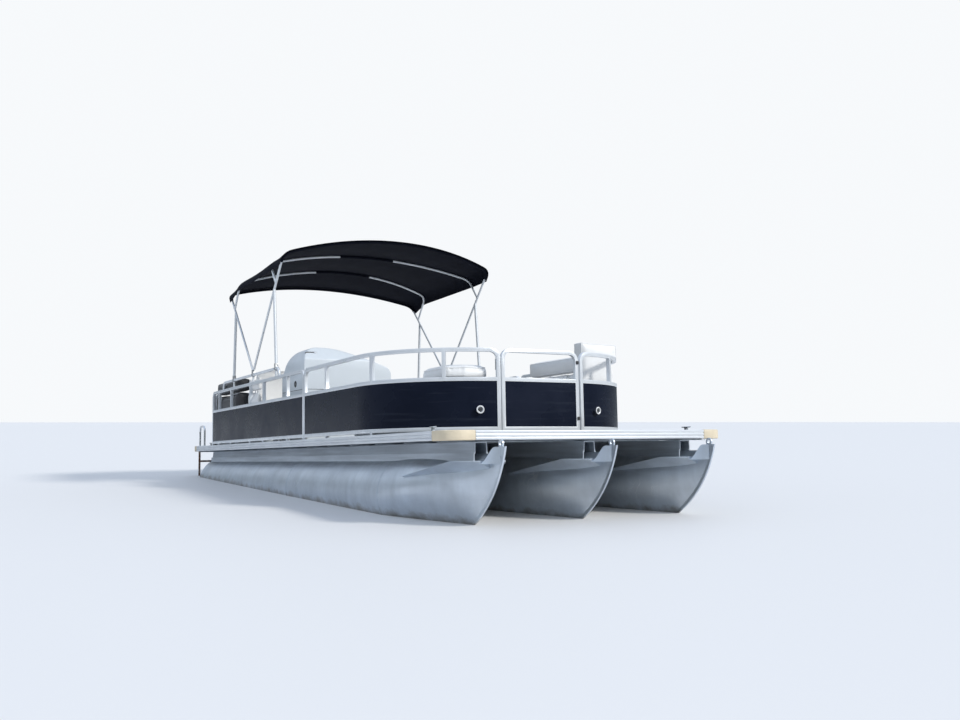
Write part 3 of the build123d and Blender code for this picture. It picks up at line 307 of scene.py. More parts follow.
class Finish:
    """A material under construction: its Principled BSDF, and the layers over its base colour."""

    def __init__(self, key, name, base, rough, metal=0.0, **sockets):
        self.material = bpy.data.materials.new(name)
        self.material.use_nodes = True
        self.tree = self.material.node_tree
        self.shader = self.tree.nodes["Principled BSDF"].inputs
        self.base = tuple(base)
        self.shader["Base Color"].default_value = (*base, 1.0)
        self.shader["Roughness"].default_value = rough
        self.shader["Metallic"].default_value = metal
        for socket, value in sockets.items():
            self.shader[socket.replace("_", " ")].default_value = value
        self.place = put(self.tree, "ShaderNodeTexCoord", (-1400, 0)).outputs["Object"]
        self.last = None
        FINISHES[key] = self.material

    def effect(self, name, **values):
        """Place a shared effect, fed with this material's coordinates."""
        made = put(self.tree, "ShaderNodeGroup", (-1100, -200 * len(self.tree.nodes)))
        made.node_tree = GROUPS[name]
        for key, value in values.items():
            made.inputs[key].default_value = value
        self.tree.links.new(self.place, made.inputs["Vector"])
        return made.outputs

    def mottle(self, scale, low=0.35, high=0.7):
        return self.effect("Mottle", Scale=scale, Low=low, High=high)["Mask"]

    def streaks(self, stretch, scale, low=0.4, high=0.7):
        return self.effect("Streaks", Stretch=stretch, Scale=scale, Low=low, High=high)["Mask"]

    def scratches(self, scale, width, cover):
        return self.effect("Scratches", Scale=scale, Width=width, Cover=cover)["Mask"]

    def tint(self, mask, value, amount):
        """Lay a colour, or a shade of the base, over the base where the mask says so."""
        if isinstance(value, float):
            value = shade(self.base, value)
        mix = put(self.tree, "ShaderNodeMix", (-400, 200), data_type="RGBA")
        scale = put(self.tree, "ShaderNodeMath", (-600, 200), operation="MULTIPLY")
        scale.inputs[1].default_value = amount
        self.tree.links.new(feed(self.tree, scale, mask), mix.inputs["Factor"])
        if self.last is None:
            mix.inputs[6].default_value = (*self.base, 1.0)
        else:
            self.tree.links.new(self.last, mix.inputs[6])
        mix.inputs[7].default_value = (*value, 1.0)
        self.last = mix.outputs[2]
        self.tree.links.new(self.last, self.shader["Base Color"])
        return self

    def rough(self, mask, low, high):
        """Let a mask run the roughness between two values."""
        spread = put(self.tree, "ShaderNodeMapRange", (-400, -100), To_Min=low, To_Max=high)
        self.tree.links.new(feed(self.tree, spread, Value=mask), self.shader["Roughness"])
        return self

    def bump(self, height, strength, distance):
        """Small relief from a height."""
        made = put(self.tree, "ShaderNodeBump", (-300, -400), Strength=strength, Distance=distance)
        self.tree.links.new(feed(self.tree, made, Height=height), self.shader["Normal"])
        return self

    def grain(self, scale, strength):
        """Pebbled surface."""
        output = self.effect("Grain", Scale=scale, Strength=strength)["Normal"]
        self.tree.links.new(output, self.shader["Normal"])
        return self


def cloudy(key, name, base, rough, cloud, tint, amount, spread=None, grain=None, metal=0.0, **sockets):
    """A finish with one cloudy layer, which may run its roughness too, and perhaps a grain."""
    made = Finish(key, name, base, rough, metal, **sockets)
    mask = made.mottle(*cloud)
    made.tint(mask, tint, amount)
    if spread:
        made.rough(mask, *spread)
    if grain:
        made.grain(*grain)
    return made


def make_finishes():
    """Every material of the boat, by the maker's name for it."""
    effects()
    c = colours()

    hull = cloudy("hull", "hull aluminium", c.hull, 0.38, (2.3,), 0.72, 0.7, (0.34, 0.55), metal=0.85)
    runs = hull.streaks((2.6, 2.6, 0.4), 2.4, 0.40, 0.75)
    rolled = hull.streaks((0.25, 3.0, 3.0), 5.0)
    marks = hull.scratches(9.0, 0.006, 0.6)
    # The waterline band is real staining and also painted shade that darkens the tubes' lower part
    stain_and_shade = hull.effect("Waterline", Water=DECK - sizes().water + STAIN_AND_SHADE_ABOVE, Rise=STAIN_AND_SHADE_FADE)["Mask"]
    hull.tint(runs, 1.3, 0.45).tint(rolled, 0.85, 0.4).tint(marks, (0.80, 0.83, 0.86), 0.45)
    hull.tint(stain_and_shade, c.stain_and_shade, 0.6).bump(rolled, 0.15, 0.002)

    web, lit, dim = (shade(c.hull, factor) for factor in (0.8, 1.25, 0.7))
    riser = cloudy("riser", "riser sheet", web, 0.5, (3.0, 0.3, 0.75), dim, 0.6, (0.42, 0.6), metal=0.6)
    riser.tint(riser.streaks((0.2, 2.0, 4.0), 6.0), lit, 0.5)

    rail = cloudy("rail", "rail tube", c.rail, 0.33, (6.0, 0.35, 0.75), 0.86, 0.6, (0.28, 0.45), metal=0.35)
    rail.tint(rail.scratches(14.0, 0.01, 0.62), 0.6, 0.5)

    edge, dim, worn = (shade(c.rail, factor) for factor in (1.04, 0.8, 0.7))
    trim = cloudy("trim", "edge trim", edge, 0.4, (4.0,), dim, 0.5, (0.34, 0.5), metal=0.3)
    trim.tint(trim.streaks((0.15, 0.15, 8.0), 8.0, 0.45), worn, 0.35)

    dull = {"Specular_IOR_Level": 0.12}
    panel = cloudy("panel", "panel paint", c.panel, 0.24, (1.6,), 1.6, 0.6, (0.2, 0.38), **dull)
    panel.tint(panel.streaks((0.4, 0.4, 7.0), 5.0, 0.55, 0.8), (0.05, 0.06, 0.08), 0.3)

    canvas = Finish("canvas", "canopy cloth", c.canvas, 0.9, **dull)
    weave = canvas.effect("Weave", Threads=260.0)
    canvas.tint(weave["Shade"], 1.9, 0.6).bump(weave["Height"], 0.35, 0.0008)

    carpet = cloudy("carpet", "deck carpet", c.carpet, 0.95, (1.8,), 0.75, 0.6)
    tuft = carpet.mottle(260.0, 0.3)
    carpet.tint(tuft, 1.4, 0.5).bump(tuft, 0.6, 0.002)

    cast = Finish("cast", "cast metal", (0.42, 0.43, 0.44), 0.45, 0.9)
    cloud = cast.mottle(30.0)
    cast.tint(cloud, (0.3, 0.3, 0.3), 0.5).bump(cloud, 0.2, 0.0005)

    motor = cloudy(
        "motor", "motor enamel", c.motor, 0.25, (5.0, 0.35, 0.75), 2.0, 0.5, (0.2, 0.36), Coat_Weight=0.5
    )
    motor.tint(motor.scratches(12.0, 0.008, 0.6), (0.1, 0.1, 0.1), 0.4)

    brown, reddish = (0.36, 0.30, 0.26), (0.20, 0.075, 0.035)
    rust = cloudy("rust", "stained ladder", brown, 0.6, (14.0, 0.35, 0.6), reddish, 0.9, metal=0.5)
    weed = rust.mottle(40.0, 0.4, 0.6)
    rust.tint(weed, (0.05, 0.03, 0.02), 0.6).bump(weed, 0.5, 0.002)

    vinyl = {"cloud": (3.5, 0.35, 0.75), "tint": 0.86, "amount": 0.6, "grain": (520.0, 0.16)}
    vinyl["Sheen_Weight"] = 0.05
    cloudy("vinyl", "vinyl", c.vinyl, 0.46, spread=(0.40, 0.56), **vinyl)
    cloudy("vinyl dark", "vinyl dark", c.vinyl_dark, 0.42, spread=(0.36, 0.52), **vinyl)
    cloudy("shell", "moulded shell", c.shell, 0.4, (2.6, 0.35, 0.75), 0.9, 0.6, (0.32, 0.5), (700.0, 0.08))
    cloudy("cap", "corner cap plastic", c.cap, 0.55, (7.0,), 1.2, 0.7, (0.45, 0.65), (600.0, 0.15))
    grey = (0.78, 0.80, 0.82)
    cloudy("bright", "bright metal", grey, 0.16, (20.0, 0.4), (0.6, 0.6, 0.6), 0.4, (0.1, 0.3), metal=1.0)
    dark = (0.018, 0.018, 0.02)
    cloudy("black", "black moulding", dark, 0.6, (12.0,), (0.05, 0.05, 0.05), 0.5, grain=(900.0, 0.2))
    white = (0.82, 0.83, 0.84)
    cloudy("white", "white enamel", white, 0.3, (9.0,), (0.72, 0.73, 0.74), 0.5, (0.24, 0.4))
    glass = (0.02, 0.022, 0.025)
    cloudy("lens", "dark lens", glass, 0.08, (60.0,), (0.06, 0.065, 0.07), 0.8, Coat_Weight=0.6)


FENCE_FRAMES = [
    "fence_bow_starboard", "fence_bow_port", "fence_side_starboard", "fence_side_port", "fence_stern",
    "gate_bow_frame", "gate_stern_frame", "gate_side_frame",
]
CANOPY_FRAMES = ["canopy_main_bows", "canopy_mid_bows", "canopy_struts", "canopy_rails"]
CAD_FINISH = {
    "hull": ["tube_starboard", "tube_center", "tube_port", "motor_pod", "transom"],
    "riser": ["risers", "cross_members"],
    "trim": ["deck_trim"],
    "cap": ["corner_caps"],
    "carpet": ["deck_floor"],
    "rail": FENCE_FRAMES + CANOPY_FRAMES,
    "panel": [
        "panels_bow", "panels_side", "panels_stern",
        "gate_bow_panel", "gate_stern_panel", "gate_side_panel",
    ],
    "bright": ["gate_hinges", "docking_lights", "stern_rails", "ladder_brackets", "cleats"],
    "cast": ["canopy_mounts", "chair_pedestal", "chair_mount", "propeller"],
    "canvas": ["canopy_canvas"],
    "shell": ["console", "lounge_bases"],
    "black": ["helm_column", "helm_wheel"],
    "vinyl": [
        "chair_seat", "chair_back", "chair_arms", "lounge_seats", "lounge_backs", "lounge_raised_back",
        "lounge_bolster",
    ],
    "vinyl dark": ["lounge_seats_dark", "lounge_backs_dark"],
    "motor": ["outboard_bracket", "outboard_swivel", "outboard_leg", "outboard_cowl"],
    "rust": ["boarding_ladder"],
}


def coat(obj, finish):
    """Give an object one finish and no other."""
    obj.data.materials.clear()
    obj.data.materials.append(FINISHES[finish])


# Shaping

UP, AHEAD = (0, 0, 1), (1, 0, 0)


def start():
    """Object mode with nothing selected."""
    if bpy.context.object and bpy.context.object.mode != "OBJECT":
        bpy.ops.object.mode_set(mode="OBJECT")
    bpy.ops.object.select_all(action="DESELECT")


def hold(obj):
    """Make an object the only one selected."""
    start()
    obj.select_set(True)
    bpy.context.view_layer.objects.active = obj
    return obj


def add(name, data):
    """Put a mesh or a curve into the scene as an object."""
    start()
    obj = bpy.data.objects.new(name, data)
    bpy.context.scene.collection.objects.link(obj)
    return obj


def named(name):
    """Name the active object and put its place in its mesh."""
    obj = bpy.context.object
    obj.name = name
    obj.data.name = name
    bpy.ops.object.transform_apply(location=True, rotation=True, scale=True)
    return obj


def aim(obj, place, axis):
    """Put an object at a place with its z along an axis."""
    turn = Vector(UP).rotation_difference(Vector(axis))
    obj.matrix_world = Matrix.Translation(Vector(place)) @ turn.to_matrix().to_4x4()
    return obj


def edit(obj):
    """Enter edit mode on one object, with all of it selected."""
    hold(obj)
    bpy.ops.object.mode_set(mode="EDIT")
    bpy.ops.mesh.select_all(action="SELECT")
    return obj


def done(obj):
    """Leave edit mode."""
    bpy.ops.object.mode_set(mode="OBJECT")
    return obj


def outward(obj):
    """Turn all faces the same way out."""
    edit(obj)
    bpy.ops.mesh.normals_make_consistent(inside=False)
    return done(obj)


def apply(obj, kind, **settings):
    """Add a modifier with its settings and apply it."""
    hold(obj)
    modifier = obj.modifiers.new("shape", kind)
    for key, value in settings.items():
        setattr(modifier, key, value)
    bpy.ops.object.modifier_apply(modifier=modifier.name)
    return obj


def smooth(obj, angle=35.0):
    """Smooth shading except over sharp edges."""
    hold(obj)
    bpy.ops.object.shade_smooth_by_angle(angle=math.radians(angle))
    return obj


def join(name, objs):
    """Join pieces of one kind into one object."""
    start()
    for obj in objs:
        obj.select_set(True)
    bpy.context.view_layer.objects.active = objs[0]
    bpy.ops.object.join()
    made = bpy.context.object
    made.name = name
    made.data.name = name
    return made


def dress(obj, finish, slot, body="boat", replaces=()):
    """Coat a finished piece, let it ride on its body and hide the nodes it replaces; its slot is not used.
    """
    coat(obj, finish)
    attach(obj, body)
    if replaces:
        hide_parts(*replaces)
    return obj


MERGE = 0.00005


def copy_of_node(name, node):
    """A copy of a CAD node's mesh with its loose triangles merged."""
    obj = add(name, frame["nodes"][node].data.copy())
    obj.data.name = name
    edit(obj)
    bpy.ops.mesh.remove_doubles(threshold=MERGE)
    bpy.ops.mesh.dissolve_limited(angle_limit=math.radians(1.0))
    return done(obj)


def body_of_node(node):
    return frame["nodes"][node]["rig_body"]


def rounded(obj, width, segments=2, **settings):
    """Round the sharp edges of an object."""
    return apply(obj, "BEVEL", width=width, segments=segments, limit_method="ANGLE", **settings)


def softened(node, finish, width, segments, slot):
    """Stand-in for a CAD node whose edges are rounded as on the real tube or moulding."""
    obj = copy_of_node(node + "_soft", node)
    rounded(obj, width, segments, angle_limit=math.radians(35.0), use_clamp_overlap=True)
    return dress(smooth(obj), finish, slot, body_of_node(node), [node])


def block(name, low, high):
    """A box between two corners."""
    start()
    low, high = Vector(low), Vector(high)
    bpy.ops.mesh.primitive_cube_add(size=1.0, location=(low + high) / 2)
    bpy.context.object.scale = high - low
    return named(name)


def plate(name, low, high, edge):
    """A small box with rounded edges."""
    return smooth(rounded(block(name, low, high), edge))


def bead(name, points, radius, closed=False, sides=6, angle=60.0):
    """A thin round bead, weld or welt through points, as a mesh."""
    curve = bpy.data.curves.new(name, "CURVE")
    curve.dimensions = "3D"
    curve.bevel_depth = radius
    curve.bevel_resolution = max(0, sides // 2 - 2)
    curve.use_fill_caps = not closed
    spline = curve.splines.new("POLY")
    spline.points.add(len(points) - 1)
    for point, at in zip(spline.points, points):
        point.co = (*at, 1.0)
    spline.use_cyclic_u = closed
    hold(add(name, curve))
    bpy.ops.object.convert(target="MESH")
    return smooth(bpy.context.object, angle)


def lathe(name, profile, place, axis=UP, steps=32):
    """A closed turned form: an outline of (radius, height) points spun about an axis."""
    mesh = bpy.data.meshes.new(name)
    mesh.from_pydata([(r, 0, z) for r, z in profile], [(i, i + 1) for i in range(len(profile) - 1)], [])
    obj = edit(add(name, mesh))
    bpy.ops.mesh.spin(steps=steps, angle=2 * math.pi, center=(0, 0, 0), axis=UP)
    bpy.ops.mesh.select_all(action="SELECT")
    bpy.ops.mesh.remove_doubles(threshold=MERGE)
    bpy.ops.mesh.normals_make_consistent(inside=False)
    hold(aim(done(obj), place, axis))
    return smooth(named(name))


def ring(name, place, axis, major, minor, around, across):
    """A torus about an axis."""
    start()
    bpy.ops.mesh.primitive_torus_add(
        major_radius=major, minor_radius=minor, major_segments=around, minor_segments=across
    )
    aim(bpy.context.object, place, axis)
    return smooth(named(name), 60.0)


DOME_STEPS = 3
DOME_SUNK = 0.0004


def dome(name, place, axis, radius, height):
    """A rivet or cap: half a sphere with its flat side down."""
    profile = [(0.0, -DOME_SUNK), (radius, -DOME_SUNK)]
    for i in range(1, DOME_STEPS):
        turn = i * math.pi / 2 / DOME_STEPS
        profile.append((radius * math.cos(turn), height * math.sin(turn)))
    return lathe(name, [*profile, (0.0, height)], place, axis, 8)


def spot(x, y, z):
    """A point given from the middle of the deck's front edge."""
    return Vector((BOW + x, y, DECK + z))


def seat_on(obj, point, lift=0.0):
    """The nearest point of a surface, and its normal there."""
    hit, at, normal, index = obj.closest_point_on_mesh(Vector(point))
    return at + normal * lift, normal


def along(path, pitch):
    """Points every so often on the straight stretches between the corners of a path."""
    points = []
    for a, b in zip(path, path[1:]):
        a, b = Vector(a), Vector(b)
        steps = max(1, round((b - a).length / pitch))
        points += [a.lerp(b, i / steps) for i in range(steps)]
    return points


def corners(obj):
    """Lowest and highest corner of an object's box."""
    places = [v.co for v in obj.data.vertices]
    return [Vector([pick(place[i] for place in places) for i in range(3)]) for pick in (min, max)]


def loose_parts(name, node):
    """The separate solids of a CAD node, from stern to bow and from starboard to port."""
    edit(copy_of_node(name, node))
    bpy.ops.mesh.separate(type="LOOSE")
    start()
    parts = [item for item in bpy.context.scene.objects if item.name.split(".")[0] == name]
    return sorted(parts, key=lambda item: [round(value, 1) for value in corners(item)[0].xy])


class BoatPiece:
    """What the operators share."""

    bl_options = {"REGISTER", "UNDO"}


class BOAT_OT_finishes(BoatPiece, bpy.types.Operator):
    """Build the materials and give one to every CAD node"""

    bl_idname = "boat.finishes"
    bl_label = "Finishes"

    def execute(self, context):
        make_finishes()
        for finish, nodes in CAD_FINISH.items():
            for node in nodes:
                coat(frame["nodes"][node], finish)
        bare = [n for n, o in frame["nodes"].items() if not o.data.materials]
        if bare:
            raise RuntimeError("no finish for " + ", ".join(bare))
        return {"FINISHED"}


class BOAT_OT_rails(BoatPiece, bpy.types.Operator):
    """Square rails of the fence and gates with rounded edges"""

    bl_idname = "boat.rails"
    bl_label = "Fence rails"

    def execute(self, context):
        for node in FENCE_FRAMES:
            softened(node, "rail", sizes().edge, 2, "rail_aluminium")
        return {"FINISHED"}


# Cushions

GAP = 0.006
VOXEL = 0.02
# A back taller than this is parted, this far under its top
TALL = 0.30
ROLL = 0.165
CUSHION_LENGTH = 0.85
CHANNEL_DEPTH = 0.012
CHANNEL_REACH = 1.5 * VOXEL
INSET = 0.006
WELT_PITCH = 0.025
PRESSURE = 4.0
STRETCH = 12.0
BENDING = 0.4


def cut(obj, *planes):
    """A copy of a block, cut by planes that each have a point and the way that is cleared."""
    piece = edit(add(obj.name, obj.data.copy()))
    for point, clear in planes:
        bpy.ops.mesh.select_all(action="SELECT")
        bpy.ops.mesh.bisect(plane_co=point, plane_no=clear, use_fill=True, clear_outer=True)
    return done(piece)


def slices(obj, count):
    """Cut a block along its length into equal cushions with a narrow gap between them."""
    low, high = corners(obj)
    pieces = []
    for i in range(count):
        planes = []
        for share, sign in ((i, 1), (i + 1, -1)):
            if 0 < share < count:
                at = low.x + (high.x - low.x) * share / count + sign * GAP / 2
                planes.append(((at, 0, 0), (-sign, 0, 0)))
        pieces.append(cut(obj, *planes))
    bpy.data.objects.remove(obj)
    return pieces


def parted(obj, height):
    """Cut a block at a height into a lower and an upper cushion."""
    pieces = [cut(obj, ((0, 0, height - sign * GAP / 2), (0, 0, sign))) for sign in (1, -1)]
    bpy.data.objects.remove(obj)
    return pieces


def rim(obj, direction):
    """Points round the largest flat face that looks in a direction."""
    face = max(obj.data.polygons, key=lambda f: f.area if f.normal.dot(direction) > 0.9 else 0.0)
    outline = [obj.data.vertices[i].co.copy() for i in face.vertices]
    return along(outline + outline[:1], WELT_PITCH)


class Cushion:
    """A padded piece on its way from a block to a swollen, sewn cushion."""

    def __init__(self, obj, name, node, finish, slot, face, channels=0, crown=None):
        obj.name = name
        obj.data.name = name
        self.obj, self.name, self.finish, self.slot = obj, name, finish, slot
        self.body = body_of_node(node)
        self.node = node
        self.crown = crown or sizes().crown
        self.face = Vector(face)
        self.low, self.high = corners(obj)
        self.middle = (self.low + self.high) / 2
        self.welt = rim(obj, self.face)
        span = self.high.x - self.low.x
        self.lines = [self.low.x + span * (i + 1) / (channels + 1) for i in range(channels)]
        for point in obj.data.vertices:
            reach = point.co - self.middle
            point.co = self.middle + Vector([r - math.copysign(min(INSET, abs(r)), r) for r in reach])
        apply(obj, "REMESH", mode="VOXEL", voxel_size=VOXEL)
        apply(obj, "SMOOTH", factor=0.5, iterations=3)
        self.rest = [v.co.copy() for v in obj.data.vertices]

    def outside(self, point):
        """Whether a point is on the half that shows."""
        return (point - self.middle).dot(self.face) > 0

    def prepare(self):
        """Add the cloth with its seams and underside held."""
        obj = hold(self.obj)
        held = []
        for i, co in enumerate(self.rest):
            seam = any(abs(co.x - line) < 0.55 * VOXEL for line in self.lines) and self.outside(co)
            if seam or co.z < self.low.z + 1.2 * VOXEL:
                held.append(i)
        obj.vertex_groups.new(name="held").add(held, 1.0, "REPLACE")
        cloth = obj.modifiers.new("cloth", "CLOTH")
        cloth.settings.use_pressure = True
        cloth.settings.uniform_pressure_force = PRESSURE
        cloth.settings.effector_weights.gravity = 0.0
        cloth.settings.vertex_group_mass = "held"
        cloth.settings.tension_stiffness = STRETCH
        cloth.settings.compression_stiffness = STRETCH
        cloth.settings.bending_stiffness = BENDING
        cloth.collision_settings.use_collision = False
        cloth.point_cache.frame_start = 1
        cloth.point_cache.frame_end = sizes().cloth_steps

    def close(self, swollen):
        """Keep the swelling within the crown, sink the channels, sew on the welt and subdivide."""
        obj = self.obj
        if swollen:
            hold(obj)
            bpy.ops.object.modifier_apply(modifier="cloth")
        for v, rest in zip(obj.data.vertices, self.rest):
            moved = v.co - rest
            if moved.length > self.crown:
                v.co = rest + moved * (self.crown / moved.length)
            for line in self.lines:
                off = abs(rest.x - line)
                if off < CHANNEL_REACH and self.outside(rest):
                    v.co -= self.face * CHANNEL_DEPTH * (1 - off / CHANNEL_REACH)
        apply(obj, "SUBSURF", levels=1, render_levels=1)
        smooth(obj, 70.0)
        path = [seat_on(obj, point, 0.001)[0] for point in self.welt]
        welt = bead(self.name + "_welt", path, sizes().stitch, closed=True, angle=70.0)
        dress(welt, self.finish, self.slot, self.body)
        dress(obj, self.finish, self.slot, self.body)


def settle(cushions):
    """Swell all the cushions together, then close them."""
    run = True
    scene = bpy.context.scene
    if run:
        for cushion in cushions:
            cushion.prepare()
        for step in range(1, sizes().cloth_steps + 1):
            scene.frame_set(step)
    for cushion in cushions:
        cushion.close(run)
    scene.frame_set(1)


class BOAT_OT_cushions(BoatPiece, bpy.types.Operator):
    """Lounge and chair cushions, swollen between their seams"""

    bl_idname = "boat.cushions"
    bl_label = "Cushions"

    def execute(self, context):
        made = []
        for node in ("lounge_seats", "lounge_seats_dark", "lounge_backs", "lounge_backs_dark"):
            finish, slot = ("vinyl dark", "vinyl_dark") if "dark" in node else ("vinyl", "vinyl_white")
            for solid in loose_parts(node + "_form", node):
                low, high = corners(solid)
                side = 1 if low.y + high.y > 0 else -1
                face = (0, -side, 0) if "backs" in node else UP
                tall = "backs" in node and high.z - low.z > TALL
                count = max(1, round((high.x - low.x) / CUSHION_LENGTH))
                for layer, form in enumerate(parted(solid, high.z - ROLL) if tall else [solid]):
                    for piece in slices(form, 1 if layer else count):
                        name = f"{node}_cushion_{len(made)}"
                        made.append(Cushion(piece, name, node, finish, slot, face, 0 if layer else 2))
        for node, face, crown in (
            ("lounge_raised_back", AHEAD, 0.018), ("lounge_bolster", UP, 0.018),
            ("chair_seat", UP, 0.016), ("chair_back", AHEAD, 0.016),
        ):
            form = copy_of_node(node + "_form", node)
            made.append(Cushion(form, node + "_cushion", node, "vinyl", "vinyl_white", face, 0, crown))
        settle(made)
        first = {}
        for cushion in made:
            first.setdefault(cushion.node, cushion.obj)
        for node, obj in first.items():
            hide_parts(node)
        return {"FINISHED"}


# Canopy. The bows are given from the deck's front edge by foot and crown (x, z), and by how far the
# cloth runs past each.
PIVOT = (-4.880, 0.810)
ARCH_HALF = 1.244
ARCH_RISE = 0.256
ARCH_SHOULDER = 0.128
CROWNS = [(-3.625, 2.165), (-4.420, 2.150), (-5.320, 2.130), (-6.080, 2.040)]
FEET = [PIVOT, (-4.0517, 1.7043), (-5.696, 1.6464), PIVOT]
PAST = [0.030, 0.0, 0.0, -0.040]
TUBE = 0.0125
SKIRT = 0.285
SLEEVE_SKIRT = 0.26
# How far the cloth's middle and the sleeves' outside lie off the tube, and the hems' radius
CLOTH_OFF = 0.002
SLEEVE_OFF = 0.0035
HEM = 0.005
PUCKER = 0.004
# Sleeves: the bow, and the shares of its length that they run between
SLEEVES = [(0, -1.0, 1.0), (3, -1.0, 1.0), (1, -0.28, 0.22), (2, -0.25, 0.28)]


def arch_point(foot, crown, share, grow, skirt):
    """A point of a bow's line, at a share from -1 to 1 of its length from starboard to port."""
    foot, crown = Vector((foot[0], 0, foot[1])), Vector((crown[0], 0, crown[1]))
    reach = (crown - foot).length
    lean = (crown - foot) / reach
    broad = (ARCH_HALF ** 2 + ARCH_RISE ** 2) / (2 * ARCH_RISE)
    inner = ARCH_HALF - ARCH_SHOULDER
    shoulder = reach - broad + math.sqrt((broad - ARCH_SHOULDER) ** 2 - inner ** 2)
    turn = math.asin(inner / (broad - ARCH_SHOULDER))
    top, bend = (broad + grow) * turn, (ARCH_SHOULDER + grow) * (math.pi / 2 - turn)
    leg = max(0.0, shoulder - (reach - skirt / lean.z))
    run = abs(share) * (top + bend + leg)
    if run < top:
        angle = run / (broad + grow)
        y, up = (broad + grow) * math.sin(angle), reach - broad + (broad + grow) * math.cos(angle)
    elif run < top + bend:
        angle = turn + (run - top) / (ARCH_SHOULDER + grow)
        y = inner + (ARCH_SHOULDER + grow) * math.sin(angle)
        up = shoulder + (ARCH_SHOULDER + grow) * math.cos(angle)
    else:
        y, up = ARCH_HALF + grow, shoulder - (run - top - bend)
    return foot + lean * up + Vector((0, math.copysign(y, share), 0))


def cloth_point(run, share):
    """A point of the taut cloth, for a run of 0 to 3 from the front bow aft."""
    ends = []
    bay = min(2, int(run))
    for i in (bay, bay + 1):
        rise = (CROWNS[i][1] - FEET[i][1]) / math.dist(CROWNS[i], FEET[i])
        point = arch_point(FEET[i], CROWNS[i], share, (TUBE + CLOTH_OFF) / rise, SKIRT)
        ends.append(spot(point.x + PAST[i], point.y, point.z))
    return ends[0].lerp(ends[1], run - bay)


class BOAT_OT_canopy(BoatPiece, bpy.types.Operator):
    """Canvas stretched over the four bows, with its hems and sleeves"""

    bl_idname = "boat.canopy"
    bl_label = "Canopy"

    def execute(self, context):
        start()
        bpy.ops.mesh.primitive_grid_add(x_subdivisions=48, y_subdivisions=72, size=2.0)
        sheet = named("canopy_cloth")
        for v in sheet.data.vertices:
            run, share, edge = (1 - v.co.x) / 2 * 3, v.co.y, abs(v.co.y)
            bay = min(2, int(run))
            middle = math.sin(math.pi * (run - bay))
            at = cloth_point(run, share)
            sag = sizes().sag * middle ** 1.5
            pucker = PUCKER * math.sin(29 * share + 3 * bay) * middle * (0.35 + edge ** 4)
            at.z -= (sag + pucker) * (1 - 0.75 * edge ** 6)
            at.y *= 1 - 0.006 * middle * edge ** 8
            v.co = at
        apply(outward(sheet), "SOLIDIFY", thickness=sizes().sheet, offset=0.0)
        dress(smooth(sheet, 50.0), "canvas", "canopy_cloth", replaces=["canopy_canvas"])
        for number, (i, a, b) in enumerate(SLEEVES):
            count = max(6, round((b - a) * 40))
            points = []
            for k in range(count + 1):
                share = a + (b - a) * k / count
                points.append(spot(*arch_point(FEET[i], CROWNS[i], share, 0.0, SLEEVE_SKIRT)))
            sleeve = bead(f"canopy_sleeve_{number}", points, TUBE + SLEEVE_OFF, sides=10)
            dress(sleeve, "canvas", "canopy_cloth")
        for number, share in enumerate((-1.0, 1.0)):
            points = [cloth_point(3 * k / 40, share) for k in range(41)]
            dress(bead(f"canopy_hem_{number}", points, HEM), "canvas", "canopy_cloth")
        for node in CANOPY_FRAMES:
            smooth(frame["nodes"][node], 40.0)
        return {"FINISHED"}


# Mouldings and fittings

# Node, finish, how far its edges are rounded, in how many steps, and slot
SOFTENED = [
    ("console", "shell", 0.028, 4, "console_shell"), ("lounge_bases", "shell", 0.014, 3, "console_shell"),
    ("corner_caps", "cap", 0.008, 3, "corner_plastic"), ("deck_trim", "trim", 0.003, 2, "rail_aluminium"),
    ("helm_column", "black", 0.004, 2, "console_shell"), ("chair_arms", "vinyl", 0.012, 3, "vinyl_white"),
    ("outboard_cowl", "motor", 0.012, 3, "motor_black"), ("outboard_leg", "motor", 0.006, 2, "motor_black"),
    ("outboard_swivel", "motor", 0.005, 2, "motor_black"),
    ("outboard_bracket", "motor", 0.005, 2, "motor_black"),
    ("motor_pod", "hull", 0.008, 2, "hull_aluminium"), ("transom", "hull", 0.005, 2, "hull_aluminium"),
    ("boarding_ladder", "rust", 0.003, 2, "ladder_metal"), ("cleats", "bright", 0.004, 3, "bright_metal"),
    ("chair_mount", "cast", 0.004, 2, "seat_metal"), ("canopy_mounts", "cast", 0.003, 2, "bright_metal"),
]


class BOAT_OT_mouldings(BoatPiece, bpy.types.Operator):
    """Shells, caps and castings with rounded edges"""

    bl_idname = "boat.mouldings"
    bl_label = "Mouldings"

    def execute(self, context):
        for piece in SOFTENED:
            softened(*piece)
        return {"FINISHED"}


TUBE_RADIUS = 0.3175
TUBE_MIDDLE = -0.4825
WELD_PLACES = (-5.93, -3.60, -1.27)


class BOAT_OT_tube_details(BoatPiece, bpy.types.Operator):
    """Weld rings round the three tubes"""

    bl_idname = "boat.tube_details"
    bl_label = "Tube details"

    def execute(self, context):
        places = [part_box("tube_center")[0].x + 0.004, *(BOW + x for x in WELD_PLACES)]
        for node in ("tube_starboard", "tube_center", "tube_port"):
            smooth(frame["nodes"][node], 32.0)
            low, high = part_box(node)
            welds = []
            for k, x in enumerate(places):
                place = (x, (low.y + high.y) / 2, DECK + TUBE_MIDDLE)
                weld = sizes().weld * 0.6
                welds.append(ring(f"{node}_weld_{k}", place, AHEAD, TUBE_RADIUS, weld, 64, 6))
            dress(smooth(join(node + "_welds", welds), 60.0), "hull", "hull_aluminium")
        return {"FINISHED"}


# The large curve of each bow corner, from the middle of the deck's front edge
CURVE_MIDDLE = (-1.710, 0.324)
CURVE_RADIUS = 0.92
# Which way the lights face, how far out from the curve's middle they sit, and how high over the deck
LIGHT_AXIS = (0.9636, 0.2674)
LIGHT_OUT = 0.9608
LIGHT_HEIGHT = 0.188


